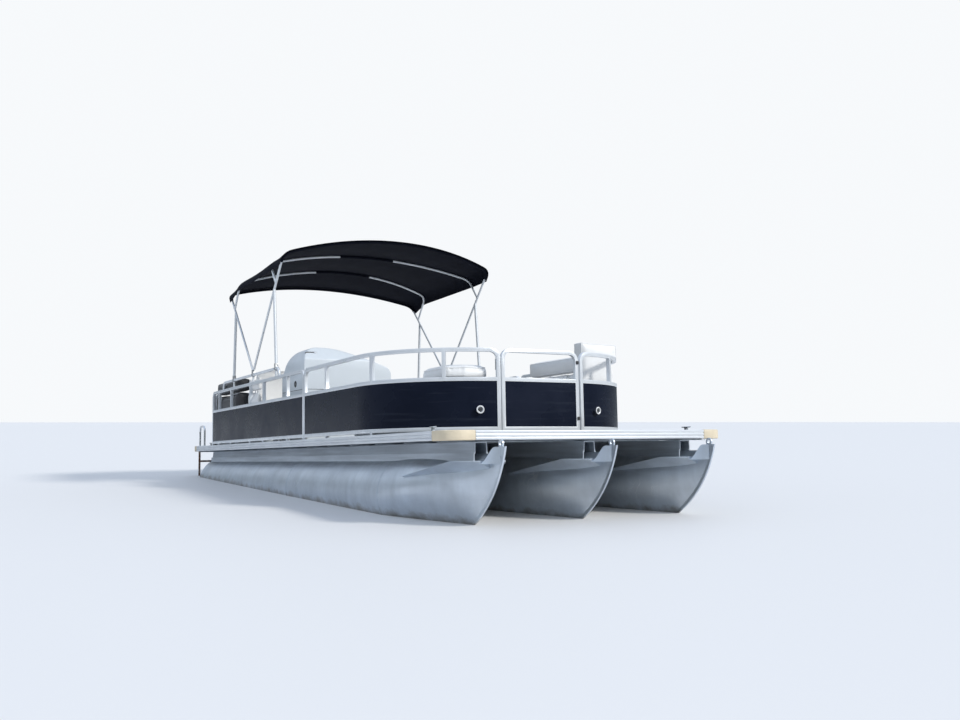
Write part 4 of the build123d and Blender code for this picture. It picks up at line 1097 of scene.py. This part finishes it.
class BOAT_OT_docking_lights(BoatPiece, bpy.types.Operator):
    """Rim, lens and bezel of the docking lights"""

    bl_idname = "boat.docking_lights"
    bl_label = "Docking lights"

    def execute(self, context):
        glass = [(0.0, -0.004), (0.0195, -0.004), (0.0195, 0.003), (0.012, 0.006), (0.0, 0.007)]
        for name, side in (("starboard", -1), ("port", 1)):
            axis = Vector((LIGHT_AXIS[0], side * LIGHT_AXIS[1], 0))
            face = spot(CURVE_MIDDLE[0], side * CURVE_MIDDLE[1], LIGHT_HEIGHT) + axis * LIGHT_OUT
            edge = ring(f"light_rim_{name}", face + axis * 0.004, axis, 0.0275, 0.0055, 40, 10)
            lens = lathe(f"light_lens_{name}", glass, face, axis)
            bezel = ring(f"light_bezel_{name}", face + axis * 0.0025, axis, 0.0205, 0.002, 32, 8)
            for piece, finish in ((edge, "white"), (lens, "lens"), (bezel, "bright")):
                dress(piece, finish, "bright_metal")
        return {"FINISHED"}


# Top of the raised rail over the deck, and where the studs of the bow curve stand in degrees
RAIL_TOP = 0.453
STUD_ANGLES = (75, 62, 49, 36, 23)


def stud_places():
    """Places of the studs along the side rails and round the bow curves."""
    low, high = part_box("fence_side_starboard")
    port_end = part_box("fence_side_port")[1].x - 0.05
    pitch = sizes().rivet_pitch
    for side in (-1, 1):
        for k in range(int((high.x - low.x) / pitch)):
            x = low.x + 0.12 + k * pitch
            if side < 0 or x <= port_end:
                yield Vector((x, side * ARCH_HALF, DECK + RAIL_TOP))
    for side in (-1, 1):
        for angle in STUD_ANGLES:
            turn = math.radians(angle)
            y = CURVE_MIDDLE[1] + CURVE_RADIUS * math.sin(turn)
            yield spot(CURVE_MIDDLE[0] + CURVE_RADIUS * math.cos(turn), side * y, RAIL_TOP)


class BOAT_OT_fence_fittings(BoatPiece, bpy.types.Operator):
    """Studs on the rails"""

    bl_idname = "boat.fence_fittings"
    bl_label = "Fence fittings"

    def execute(self, context):
        radius = sizes().rivet
        studs = [dome(f"stud_{k}", at, UP, radius, radius * 0.6) for k, at in enumerate(stud_places())]
        dress(join("rail_studs", studs), "rail", "rail_aluminium")
        return {"FINISHED"}


# Console: heights over the deck
CONSOLE_JOINT = 0.532
CONSOLE_LATCH = 0.93
CONSOLE_VENT = 0.60
THROTTLE = 0.56
# Gauges on the dash: how far to port and up from the helm wheel's hub, and radius
GAUGES = [(-0.10, 0.09, 0.042), (0.10, 0.09, 0.042), (0.29, 0.06, 0.030), (0.38, 0.06, 0.030)]
LATCH_BUTTON = [(0.0, -0.002), (0.017, -0.002), (0.017, 0.004), (0.012, 0.009), (0.0, 0.011)]
VENT = [(0.0, -0.001), (0.034, -0.001), (0.034, 0.003), (0.028, 0.005), (0.022, 0.003), (0.0, 0.002)]
SWITCH = [(0.0, -0.002), (0.011, -0.002), (0.011, 0.006), (0.006, 0.014), (0.0, 0.015)]
LEVER = [(-0.05, 0.0, 0.02), (-0.066, 0.0, 0.04), (-0.10, 0.0, 0.11), (-0.105, 0.0, 0.15)]
LEVER_GRIP = [(-0.106, -0.03, 0.155), (-0.107, 0.03, 0.158)]


def console_joint(shell, low, high):
    """A dark joint line round the console at one height, along its starboard side and front."""
    z = DECK + CONSOLE_JOINT
    path = [Vector((low.x + 0.03, low.y, z)), Vector((high.x - 0.03, low.y, z))]
    path += [Vector((high.x, low.y + 0.03, z)), Vector((high.x, high.y - 0.03, z))]
    points = []
    for a, b in zip(path, path[1:]):
        steps = max(2, round((b - a).length / 0.03))
        points += [seat_on(shell, a.lerp(b, i / steps), 0.0004)[0] for i in range(steps + 1)]
    return bead("console_joint", points, 0.0022)


def gauge(k, radius, at, normal):
    """Case, face and pin of one gauge."""
    inner = radius * 0.84
    case = [(0.0, -0.002), (radius, -0.002), (radius, 0.007), (radius * 0.9, 0.009)]
    case += [(inner, 0.006), (0.0, 0.006)]
    face = [(0.0, 0.0055), (inner, 0.0055), (inner, 0.007), (0.0, 0.008)]
    yield lathe(f"gauge_{k}", case, at, normal), "bright"
    yield lathe(f"gauge_face_{k}", face, at, normal), "lens"
    yield dome(f"gauge_pin_{k}", at + normal * 0.008, normal, radius * 0.09, 0.003), "bright"


def console_pieces(shell):
    """Each fitting of the console with its finish."""
    low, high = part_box("console")
    yield console_joint(shell, low, high), "black"

    front, z = high.x - 0.06, DECK + CONSOLE_LATCH
    points = [seat_on(shell, (front, low.y + 0.018 + 0.02 * k, z), 0.004)[0] for k in range(7)]
    yield bead("console_latch", points, 0.0045, sides=8), "black"
    at, normal = seat_on(shell, (front, low.y + 0.145, z))
    yield lathe("console_latch_button", LATCH_BUTTON, at, normal), "rail"

    at, normal = seat_on(shell, (low.x + 0.46, low.y, DECK + CONSOLE_VENT))
    yield lathe("console_vent", VENT, at, normal), "black"
    for k in (-1, 0, 1):
        first = at + Vector((-0.018, -0.005, 0.009 * k - 0.0015))
        last = at + Vector((0.018, 0.0, 0.009 * k + 0.0015))
        yield plate(f"console_vent_slat_{k}", first, last, 0.0006), "cast"

    hub = sum(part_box("helm_wheel"), Vector()) / 2
    for k, (y, up, radius) in enumerate(GAUGES):
        yield from gauge(k, radius, *seat_on(shell, hub + Vector((0.10 + up, y, up))))
    for k in range(5):
        at, normal = seat_on(shell, hub + Vector((0.02, 0.27 + 0.035 * k, -0.06)))
        yield lathe(f"switch_{k}", SWITCH, at, normal, steps=16), "black"

    root = Vector((low.x + 0.02, low.y + 0.065, DECK + THROTTLE))
    first, last = root + Vector((-0.055, -0.03, -0.07)), root + Vector((0.004, 0.03, 0.07))
    yield plate("throttle_box", first, last, 0.012), "black"
    yield bead("throttle_lever", [root + Vector(v) for v in LEVER], 0.008, sides=10), "bright"
    yield bead("throttle_grip", [root + Vector(v) for v in LEVER_GRIP], 0.017, sides=12), "black"


class BOAT_OT_console_fittings(BoatPiece, bpy.types.Operator):
    """Latch, vent, joint line, gauges, switches and throttle of the console"""

    bl_idname = "boat.console_fittings"
    bl_label = "Console fittings"

    def execute(self, context):
        for piece, finish in console_pieces(bpy.data.objects["console_soft"]):
            dress(piece, finish, "console_shell")
        return {"FINISHED"}


# Radius of the chair's post, and outlines of (radius, height) points round it
POST = 0.0364
FOOT = [
    (POST, 0.0), (0.150, 0.0), (0.142, 0.006), (0.085, 0.016), (0.056, 0.040), (0.044, 0.090),
    (POST, 0.095), (POST, 0.0),
]
COLLAR = [(POST, 0.0), (0.054, 0.0), (0.054, 0.030), (POST, 0.034), (POST, 0.0)]
FOOT_BOLTS = 6
FOOT_BOLT_REACH = 0.152
FOOT_UP = 0.010
COLLAR_UP = 0.16


class BOAT_OT_chair_details(BoatPiece, bpy.types.Operator):
    """Trumpet foot with its bolts, collar, and ribbed back shell of the helm chair"""

    bl_idname = "boat.chair_details"
    bl_label = "Chair details"

    def execute(self, context):
        low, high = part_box("chair_pedestal")
        place = Vector(((low.x + high.x) / 2, (low.y + high.y) / 2, DECK + FOOT_UP))
        dress(lathe("pedestal_foot", FOOT, place), "cast", "seat_metal")
        for k in range(FOOT_BOLTS):
            turn = math.radians(360 / FOOT_BOLTS * (k + 0.5))
            bolt = place + Vector((FOOT_BOLT_REACH * math.cos(turn), FOOT_BOLT_REACH * math.sin(turn), 0.0))
            dress(dome(f"pedestal_bolt_{k}", bolt, UP, 0.007, 0.005), "bright", "seat_metal")
        dress(lathe("pedestal_collar", COLLAR, place + Vector((0, 0, COLLAR_UP))), "black", "seat_metal")

        low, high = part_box("chair_back")
        first = (low.x - 0.010, low.y + 0.035, low.z + 0.02)
        last = (low.x + 0.012, high.y - 0.035, high.z - 0.05)
        pieces = [plate("chair_shell", first, last, 0.009)]
        for side in (-1, 1):
            points = []
            for k in range(12):
                share = k / 11
                y = (low.y + high.y) / 2 + side * (0.24 - 0.05 * share)
                points.append((low.x - 0.004, y, low.z + 0.04 + share * (high.z - low.z - 0.12)))
            pieces.append(bead(f"chair_shell_rib_{side}", points, 0.006, sides=8))
        for piece in pieces:
            dress(piece, "shell", "vinyl_white", body_of_node("chair_back"))
        return {"FINISHED"}


WHEEL_AXIS = (-0.7229, 0.0, 0.6910)
WHEEL_RADIUS = 0.18
WHEEL_BOSS = [
    (0.0, -0.019), (0.038, -0.019), (0.041, -0.01), (0.041, 0.006), (0.034, 0.014), (0.015, 0.0175),
    (0.0, 0.018),
]
# Reach and half width of a spoke at the hub and at the rim
SPOKE_ROOT, SPOKE_TIP = (0.035, 0.022), (0.176, 0.013)


class BOAT_OT_helm_wheel(BoatPiece, bpy.types.Operator):
    """Steering wheel with a round rim, flat spokes and a cap"""

    bl_idname = "boat.helm_wheel"
    bl_label = "Helm wheel"

    def execute(self, context):
        hub, axis = sum(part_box("helm_wheel"), Vector()) / 2, Vector(WHEEL_AXIS)
        body = body_of_node("helm_wheel")
        grip = ring("wheel_rim", hub, axis, WHEEL_RADIUS, 0.0135, 72, 14)
        dress(grip, "black", "wheel_black", body, ["helm_wheel"])
        side, up = Vector((0, 1, 0)), axis.cross(Vector((0, 1, 0)))
        for k, angle in enumerate((90, 210, 330)):
            turn = math.radians(angle)
            out = side * math.cos(turn) + up * math.sin(turn)
            across = axis.cross(out)
            spoke = block(f"wheel_spoke_{k}", (-0.5, -0.5, -0.5), (0.5, 0.5, 0.5))
            for v in spoke.data.vertices:
                reach, wide = SPOKE_ROOT if v.co.x < 0 else SPOKE_TIP
                v.co = hub + out * reach + across * v.co.y * 2 * wide + axis * (v.co.z * 0.008 - 0.004)
            dress(smooth(rounded(spoke, 0.0025)), "bright", "wheel_black", body)
        dress(lathe("wheel_boss", WHEEL_BOSS, hub, axis), "black", "wheel_black", body)
        return {"FINISHED"}


# Gates: name, the axis along the gate, and the way along it to the catches
GATES = [("bow", 1, 1), ("stern", 1, -1), ("side", 0, -1)]
CATCH = Vector((0.022, 0.022, 0.028))
CATCH_IN = 0.012
CATCH_HEIGHTS = (0.595, 0.12)


class BOAT_OT_gate_hardware(BoatPiece, bpy.types.Operator):
    """Catches and hinges of the three gates"""

    bl_idname = "boat.gate_hardware"
    bl_label = "Gate hardware"

    def execute(self, context):
        for name, axis, lean in GATES:
            node = f"gate_{name}_frame"
            low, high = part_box(node)
            for z in CATCH_HEIGHTS:
                at = (low + high) / 2
                at.z = DECK + z
                at[axis] = high[axis] - CATCH_IN if lean > 0 else low[axis] + CATCH_IN
                at[1 - axis] = low[1 - axis] if name == "stern" else high[1 - axis]
                catch = plate(f"{name}_catch_{round(z * 1000)}", at - CATCH / 2, at + CATCH / 2, 0.003)
                dress(catch, "black", "bright_metal", body_of_node(node))
        for k, solid in enumerate(loose_parts("hinge_form", "gate_hinges")):
            hinge = smooth(rounded(solid, 0.0012))
            dress(hinge, "black", "bright_metal", replaces=() if k else ["gate_hinges"])
        return {"FINISHED"}


# The motor's tilt hinge from the deck's front edge. The motor's own places are given upright from it.
HINGE_OF_MOTOR = (-7.800, 0.0, 0.060)
MOTOR_TILT = math.radians(62.0)
PROPELLER_DOWN = -0.95
PROPELLER_MIDDLE = -0.552
# Bands round the cowl: height and radius, on a path round its four sides
COWL_BANDS = [(0.16, 0.0035), (0.205, 0.0022)]
COWL_PATH = [(-0.02, -0.19), (-0.02, 0.19), (-0.61, 0.19), (-0.61, -0.19), (-0.02, -0.19)]
TILT_CAP = [(0.0, 0.0), (0.024, 0.0), (0.024, 0.010), (0.016, 0.016), (0.0, 0.017)]
PROPELLER_HUB = [
    (0.0125, 0.500), (0.034, 0.500), (0.046, 0.515), (0.046, 0.600), (0.040, 0.6075), (0.0125, 0.6075),
    (0.0125, 0.500),
]
BLADE_ROOT, BLADE_SPAN, BLADE_WIDTH, BLADE_PITCH = 0.040, 0.132, 0.13, 0.36


def stowed(x, y, z):
    """A point of the motor given upright from its tilt hinge, placed as the motor is stowed."""
    turned = Matrix.Rotation(MOTOR_TILT, 3, "Y") @ Vector((x, y, z))
    return spot(*HINGE_OF_MOTOR) + turned


def stow(obj):
    """Place a piece that was made upright about the tilt hinge."""
    for v in obj.data.vertices:
        v.co = stowed(*v.co)
    return obj


def cowl_pieces(cowl):
    """Bands and vents of the cowl, each with its finish."""
    for k, (height, radius) in enumerate(COWL_BANDS):
        path = along([(x, y, height) for x, y in COWL_PATH], 0.03)
        points = [seat_on(cowl, stowed(*at), 0.0005)[0] for at in path]
        yield bead(f"cowl_band_{k}", points, radius, closed=True, sides=8), "black" if k else "bright"
    for side in (-1, 1):
        for k in range(4):
            path = [(-0.40 - 0.02 * i, side * 0.20, 0.44 + 0.022 * k) for i in range(7)]
            points = [seat_on(cowl, stowed(*at), 0.0005)[0] for at in path]
            yield bead(f"cowl_vent_{side}_{k}", points, 0.004), "black"


def blade_point(k, reach, chord):
    """A point of a twisted propeller blade, at a share of its reach and of its width."""
    radius = BLADE_ROOT + BLADE_SPAN * reach
    pitch = math.atan(BLADE_PITCH / (2 * math.pi * radius))
    wide = BLADE_WIDTH * math.sin(math.pi * (0.16 + 0.74 * reach)) ** 0.8
    wide *= min(1.0, 0.09 / (BLADE_WIDTH * math.sin(pitch) + 0.001))
    turn = math.radians(120 * k) + chord * wide * math.cos(pitch) / radius
    run = chord * wide * math.sin(pitch) - 0.012 * reach
    return PROPELLER_MIDDLE + run, radius * math.sin(turn), PROPELLER_DOWN + radius * math.cos(turn)


class BOAT_OT_motor_details(BoatPiece, bpy.types.Operator):
    """Cowl bands, vents, tilt caps, and the propeller with twisted blades"""

    bl_idname = "boat.motor_details"
    bl_label = "Motor details"

    def execute(self, context):
        for piece, finish in cowl_pieces(bpy.data.objects["outboard_cowl_soft"]):
            dress(piece, finish, "motor_black", body_of_node("outboard_cowl"))
        for side in (-1, 1):
            place = spot(*HINGE_OF_MOTOR) + Vector((0, side * 0.133, 0))
            dress(lathe(f"tilt_cap_{side}", TILT_CAP, place, (0, side, 0)), "bright", "motor_black")
        body = body_of_node("propeller")
        hub = lathe("propeller_hub", PROPELLER_HUB, (0, 0, PROPELLER_DOWN), (-1, 0, 0), 40)
        dress(stow(hub), "cast", "propeller_metal", body, ["propeller"])
        for k in range(3):
            start()
            bpy.ops.mesh.primitive_grid_add(x_subdivisions=10, y_subdivisions=8, size=1.0)
            blade = named(f"propeller_blade_{k}")
            for v in blade.data.vertices:
                v.co = blade_point(k, v.co.x + 0.5, v.co.y)
            apply(outward(blade), "SOLIDIFY", thickness=0.007, offset=0.0)
            rounded(blade, 0.0015, 1)
            dress(smooth(stow(blade), 50.0), "cast", "propeller_metal", body)
        return {"FINISHED"}


FLANGE = [
    (0.0128, 0.0005), (0.032, 0.0005), (0.032, 0.003), (0.019, 0.008), (0.0128, 0.010), (0.0128, 0.0005),
]
# Top of the first tread under the deck, the treads' pitch, and the ribs on each
TREAD_TOP, TREAD_PITCH = -0.034 - 0.17 + 0.012, 0.24
TREADS, TREAD_RIBS = 3, 5


class BOAT_OT_stern_fittings(BoatPiece, bpy.types.Operator):
    """Flanges under the hand rails, and ribs on the ladder's treads"""

    bl_idname = "boat.stern_fittings"
    bl_label = "Stern fittings"

    def execute(self, context):
        smooth(frame["nodes"]["stern_rails"], 40.0)
        low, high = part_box("stern_rails")
        for k, y in enumerate((low.y + TUBE, high.y - TUBE)):
            for x in (low.x + TUBE, high.x - TUBE):
                name = f"rail_flange_{k}_{round(x * 100)}"
                dress(lathe(name, FLANGE, (x, y, DECK)), "bright", "bright_metal")
        low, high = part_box("boarding_ladder")
        for k in range(TREADS):
            z = DECK + TREAD_TOP - TREAD_PITCH * k
            for i in range(TREAD_RIBS):
                x = high.x - 0.012 - 0.009 * i
                first, last = (x - 0.0015, low.y + 0.04, z - 0.0005), (x + 0.0015, high.y - 0.04, z + 0.0018)
                rib = plate(f"tread_{k}_{i}", first, last, 0.0005)
                dress(rib, "black", "ladder_metal", body_of_node("boarding_ladder"))
        return {"FINISHED"}


# The camera stands where the photograph was taken from: its place from the deck's front edge and
# top, and the directions in which its picture runs right, up and backwards.
CAMERA_PLACE = (5.92157, -4.35780, -0.16916)
CAMERA_RIGHT = (0.48980, 0.87169, -0.01597)
CAMERA_UP = (0.09298, -0.03402, 0.99509)
CAMERA_BACK = (0.86686, -0.48888, -0.09771)
CAMERA_LENS = 35.99
WATER_NORMAL = (0.03736, -0.00268, 0.99930)
SUN_FROM = (0.72, 0.42, 0.53)
FLOOR_REACH = 900.0
# Soft surroundings: share of the way from straight down to straight up, and colour
SKY = [
    (0.0, (0.32, 0.34, 0.36)), (0.495, (0.20, 0.23, 0.25)), (0.56, (0.13, 0.16, 0.17)),
    (0.63, (0.66, 0.72, 0.80)), (0.78, (0.72, 0.81, 0.94)), (1.0, (0.48, 0.60, 0.84)),
]
BACKDROP = (0.93, 0.95, 0.97, 1.0)


def lay_floor():
    """Plain floor in the water's place."""
    start()
    bpy.ops.mesh.primitive_plane_add(size=2 * FLOOR_REACH)
    floor = bpy.context.object
    floor.name = "floor"
    aim(floor, (BOW, 0, DECK - sizes().water), WATER_NORMAL)
    Finish("floor", "floor paint", colours().floor, 0.6)
    floor.data.materials.append(FINISHES["floor"])


def light_studio():
    """A soft sky that the boat mirrors, a plain backdrop that the camera sees, and one sun."""
    world = bpy.data.worlds.new("studio")
    bpy.context.scene.world = world
    world.use_nodes = True
    tree = world.node_tree
    tree.nodes.clear()
    ray = put(tree, "ShaderNodeTexCoord", (-1000, 0))
    apart = put(tree, "ShaderNodeSeparateXYZ", (-800, 0))
    feed(tree, apart, ray.outputs["Generated"])
    height = put(tree, "ShaderNodeMapRange", (-600, 0), From_Min=-1.0)
    ramp = put(tree, "ShaderNodeValToRGB", (-400, 0))
    stops = ramp.color_ramp.elements
    for _ in SKY[2:]:
        stops.new(0.5)
    for stop, (at, value) in zip(stops, SKY):
        stop.position = at
        stop.color = (*value, 1.0)
    colour_at = feed(tree, ramp, feed(tree, height, Value=apart.outputs["Z"]))
    sky = feed(tree, put(tree, "ShaderNodeBackground", Strength=1.0), Color=colour_at)
    plain_sky = put(tree, "ShaderNodeBackground", (0, -200), Strength=1.0, Color=BACKDROP)
    seen = put(tree, "ShaderNodeLightPath", (-400, 200)).outputs["Is Camera Ray"]
    mix = put(tree, "ShaderNodeMixShader", (200, 0))
    out = put(tree, "ShaderNodeOutputWorld", (400, 0))
    tree.links.new(feed(tree, mix, seen, sky, plain_sky.outputs[0]), out.inputs["Surface"])

    bpy.ops.object.light_add(type="SUN", location=(6.0, 4.0, 8.0))
    sun = bpy.context.object
    sun.name = "key"
    sun.data.energy = 2.3
    sun.data.angle = math.radians(9.0)
    sun.data.color = (1.0, 0.98, 0.94)
    sun.rotation_euler = Vector(SUN_FROM).to_track_quat("Z", "Y").to_euler()


def place_camera():
    """The camera at the photograph's place."""
    bpy.ops.object.camera_add()
    camera = bpy.context.object
    columns = (CAMERA_RIGHT, CAMERA_UP, CAMERA_BACK)
    turn = Matrix([[column[row] for column in columns] for row in range(3)])
    camera.matrix_world = Matrix.Translation(spot(*CAMERA_PLACE)) @ turn.to_4x4()
    camera.data.sensor_width = 36.0
    camera.data.lens = CAMERA_LENS
    camera.data.clip_end = 2500.0
    bpy.context.scene.camera = camera


class BOAT_OT_stage(BoatPiece, bpy.types.Operator):
    """Floor at the waterline, soft light and the camera"""

    bl_idname = "boat.stage"
    bl_label = "Stage"

    def execute(self, context):
        lay_floor()
        light_studio()
        place_camera()
        context.scene.view_settings.view_transform = "Standard"
        return {"FINISHED"}


class BOAT_PT_panel(bpy.types.Panel):
    """Lists the pieces in the order in which they are built"""

    bl_label = "Pontoon boat"
    bl_idname = "BOAT_PT_panel"
    bl_space_type = "VIEW_3D"
    bl_region_type = "UI"
    bl_category = "Boat"

    def draw(self, context):
        layout = self.layout
        for group_name in ("boat_sizes", "boat_colours"):
            owner = getattr(context.scene, group_name)
            box = layout.box()
            for key in owner.__annotations__:
                box.prop(owner, key)
        for operator in OPERATORS:
            layout.operator(operator.bl_idname)


OPERATORS = [
    BOAT_OT_stage,
    BOAT_OT_finishes,
    BOAT_OT_rails,
    BOAT_OT_mouldings,
    BOAT_OT_tube_details,
    BOAT_OT_docking_lights,
    BOAT_OT_fence_fittings,
    BOAT_OT_gate_hardware,
    BOAT_OT_console_fittings,
    BOAT_OT_helm_wheel,
    BOAT_OT_chair_details,
    BOAT_OT_motor_details,
    BOAT_OT_stern_fittings,
    BOAT_OT_canopy,
    BOAT_OT_cushions,
]
CLASSES = [BoatColours, BoatSizes, *OPERATORS, BOAT_PT_panel]


def register():
    for item in CLASSES:
        bpy.utils.register_class(item)
    bpy.types.Scene.boat_sizes = PointerProperty(type=BoatSizes)
    bpy.types.Scene.boat_colours = PointerProperty(type=BoatColours)


def unregister():
    del bpy.types.Scene.boat_colours
    del bpy.types.Scene.boat_sizes
    for item in reversed(CLASSES):
        bpy.utils.unregister_class(item)


def main():
    register()
    for operator in OPERATORS:
        family, name = operator.bl_idname.split(".")
        getattr(getattr(bpy.ops, family), name)()


if __name__ == "__main__":
    main()
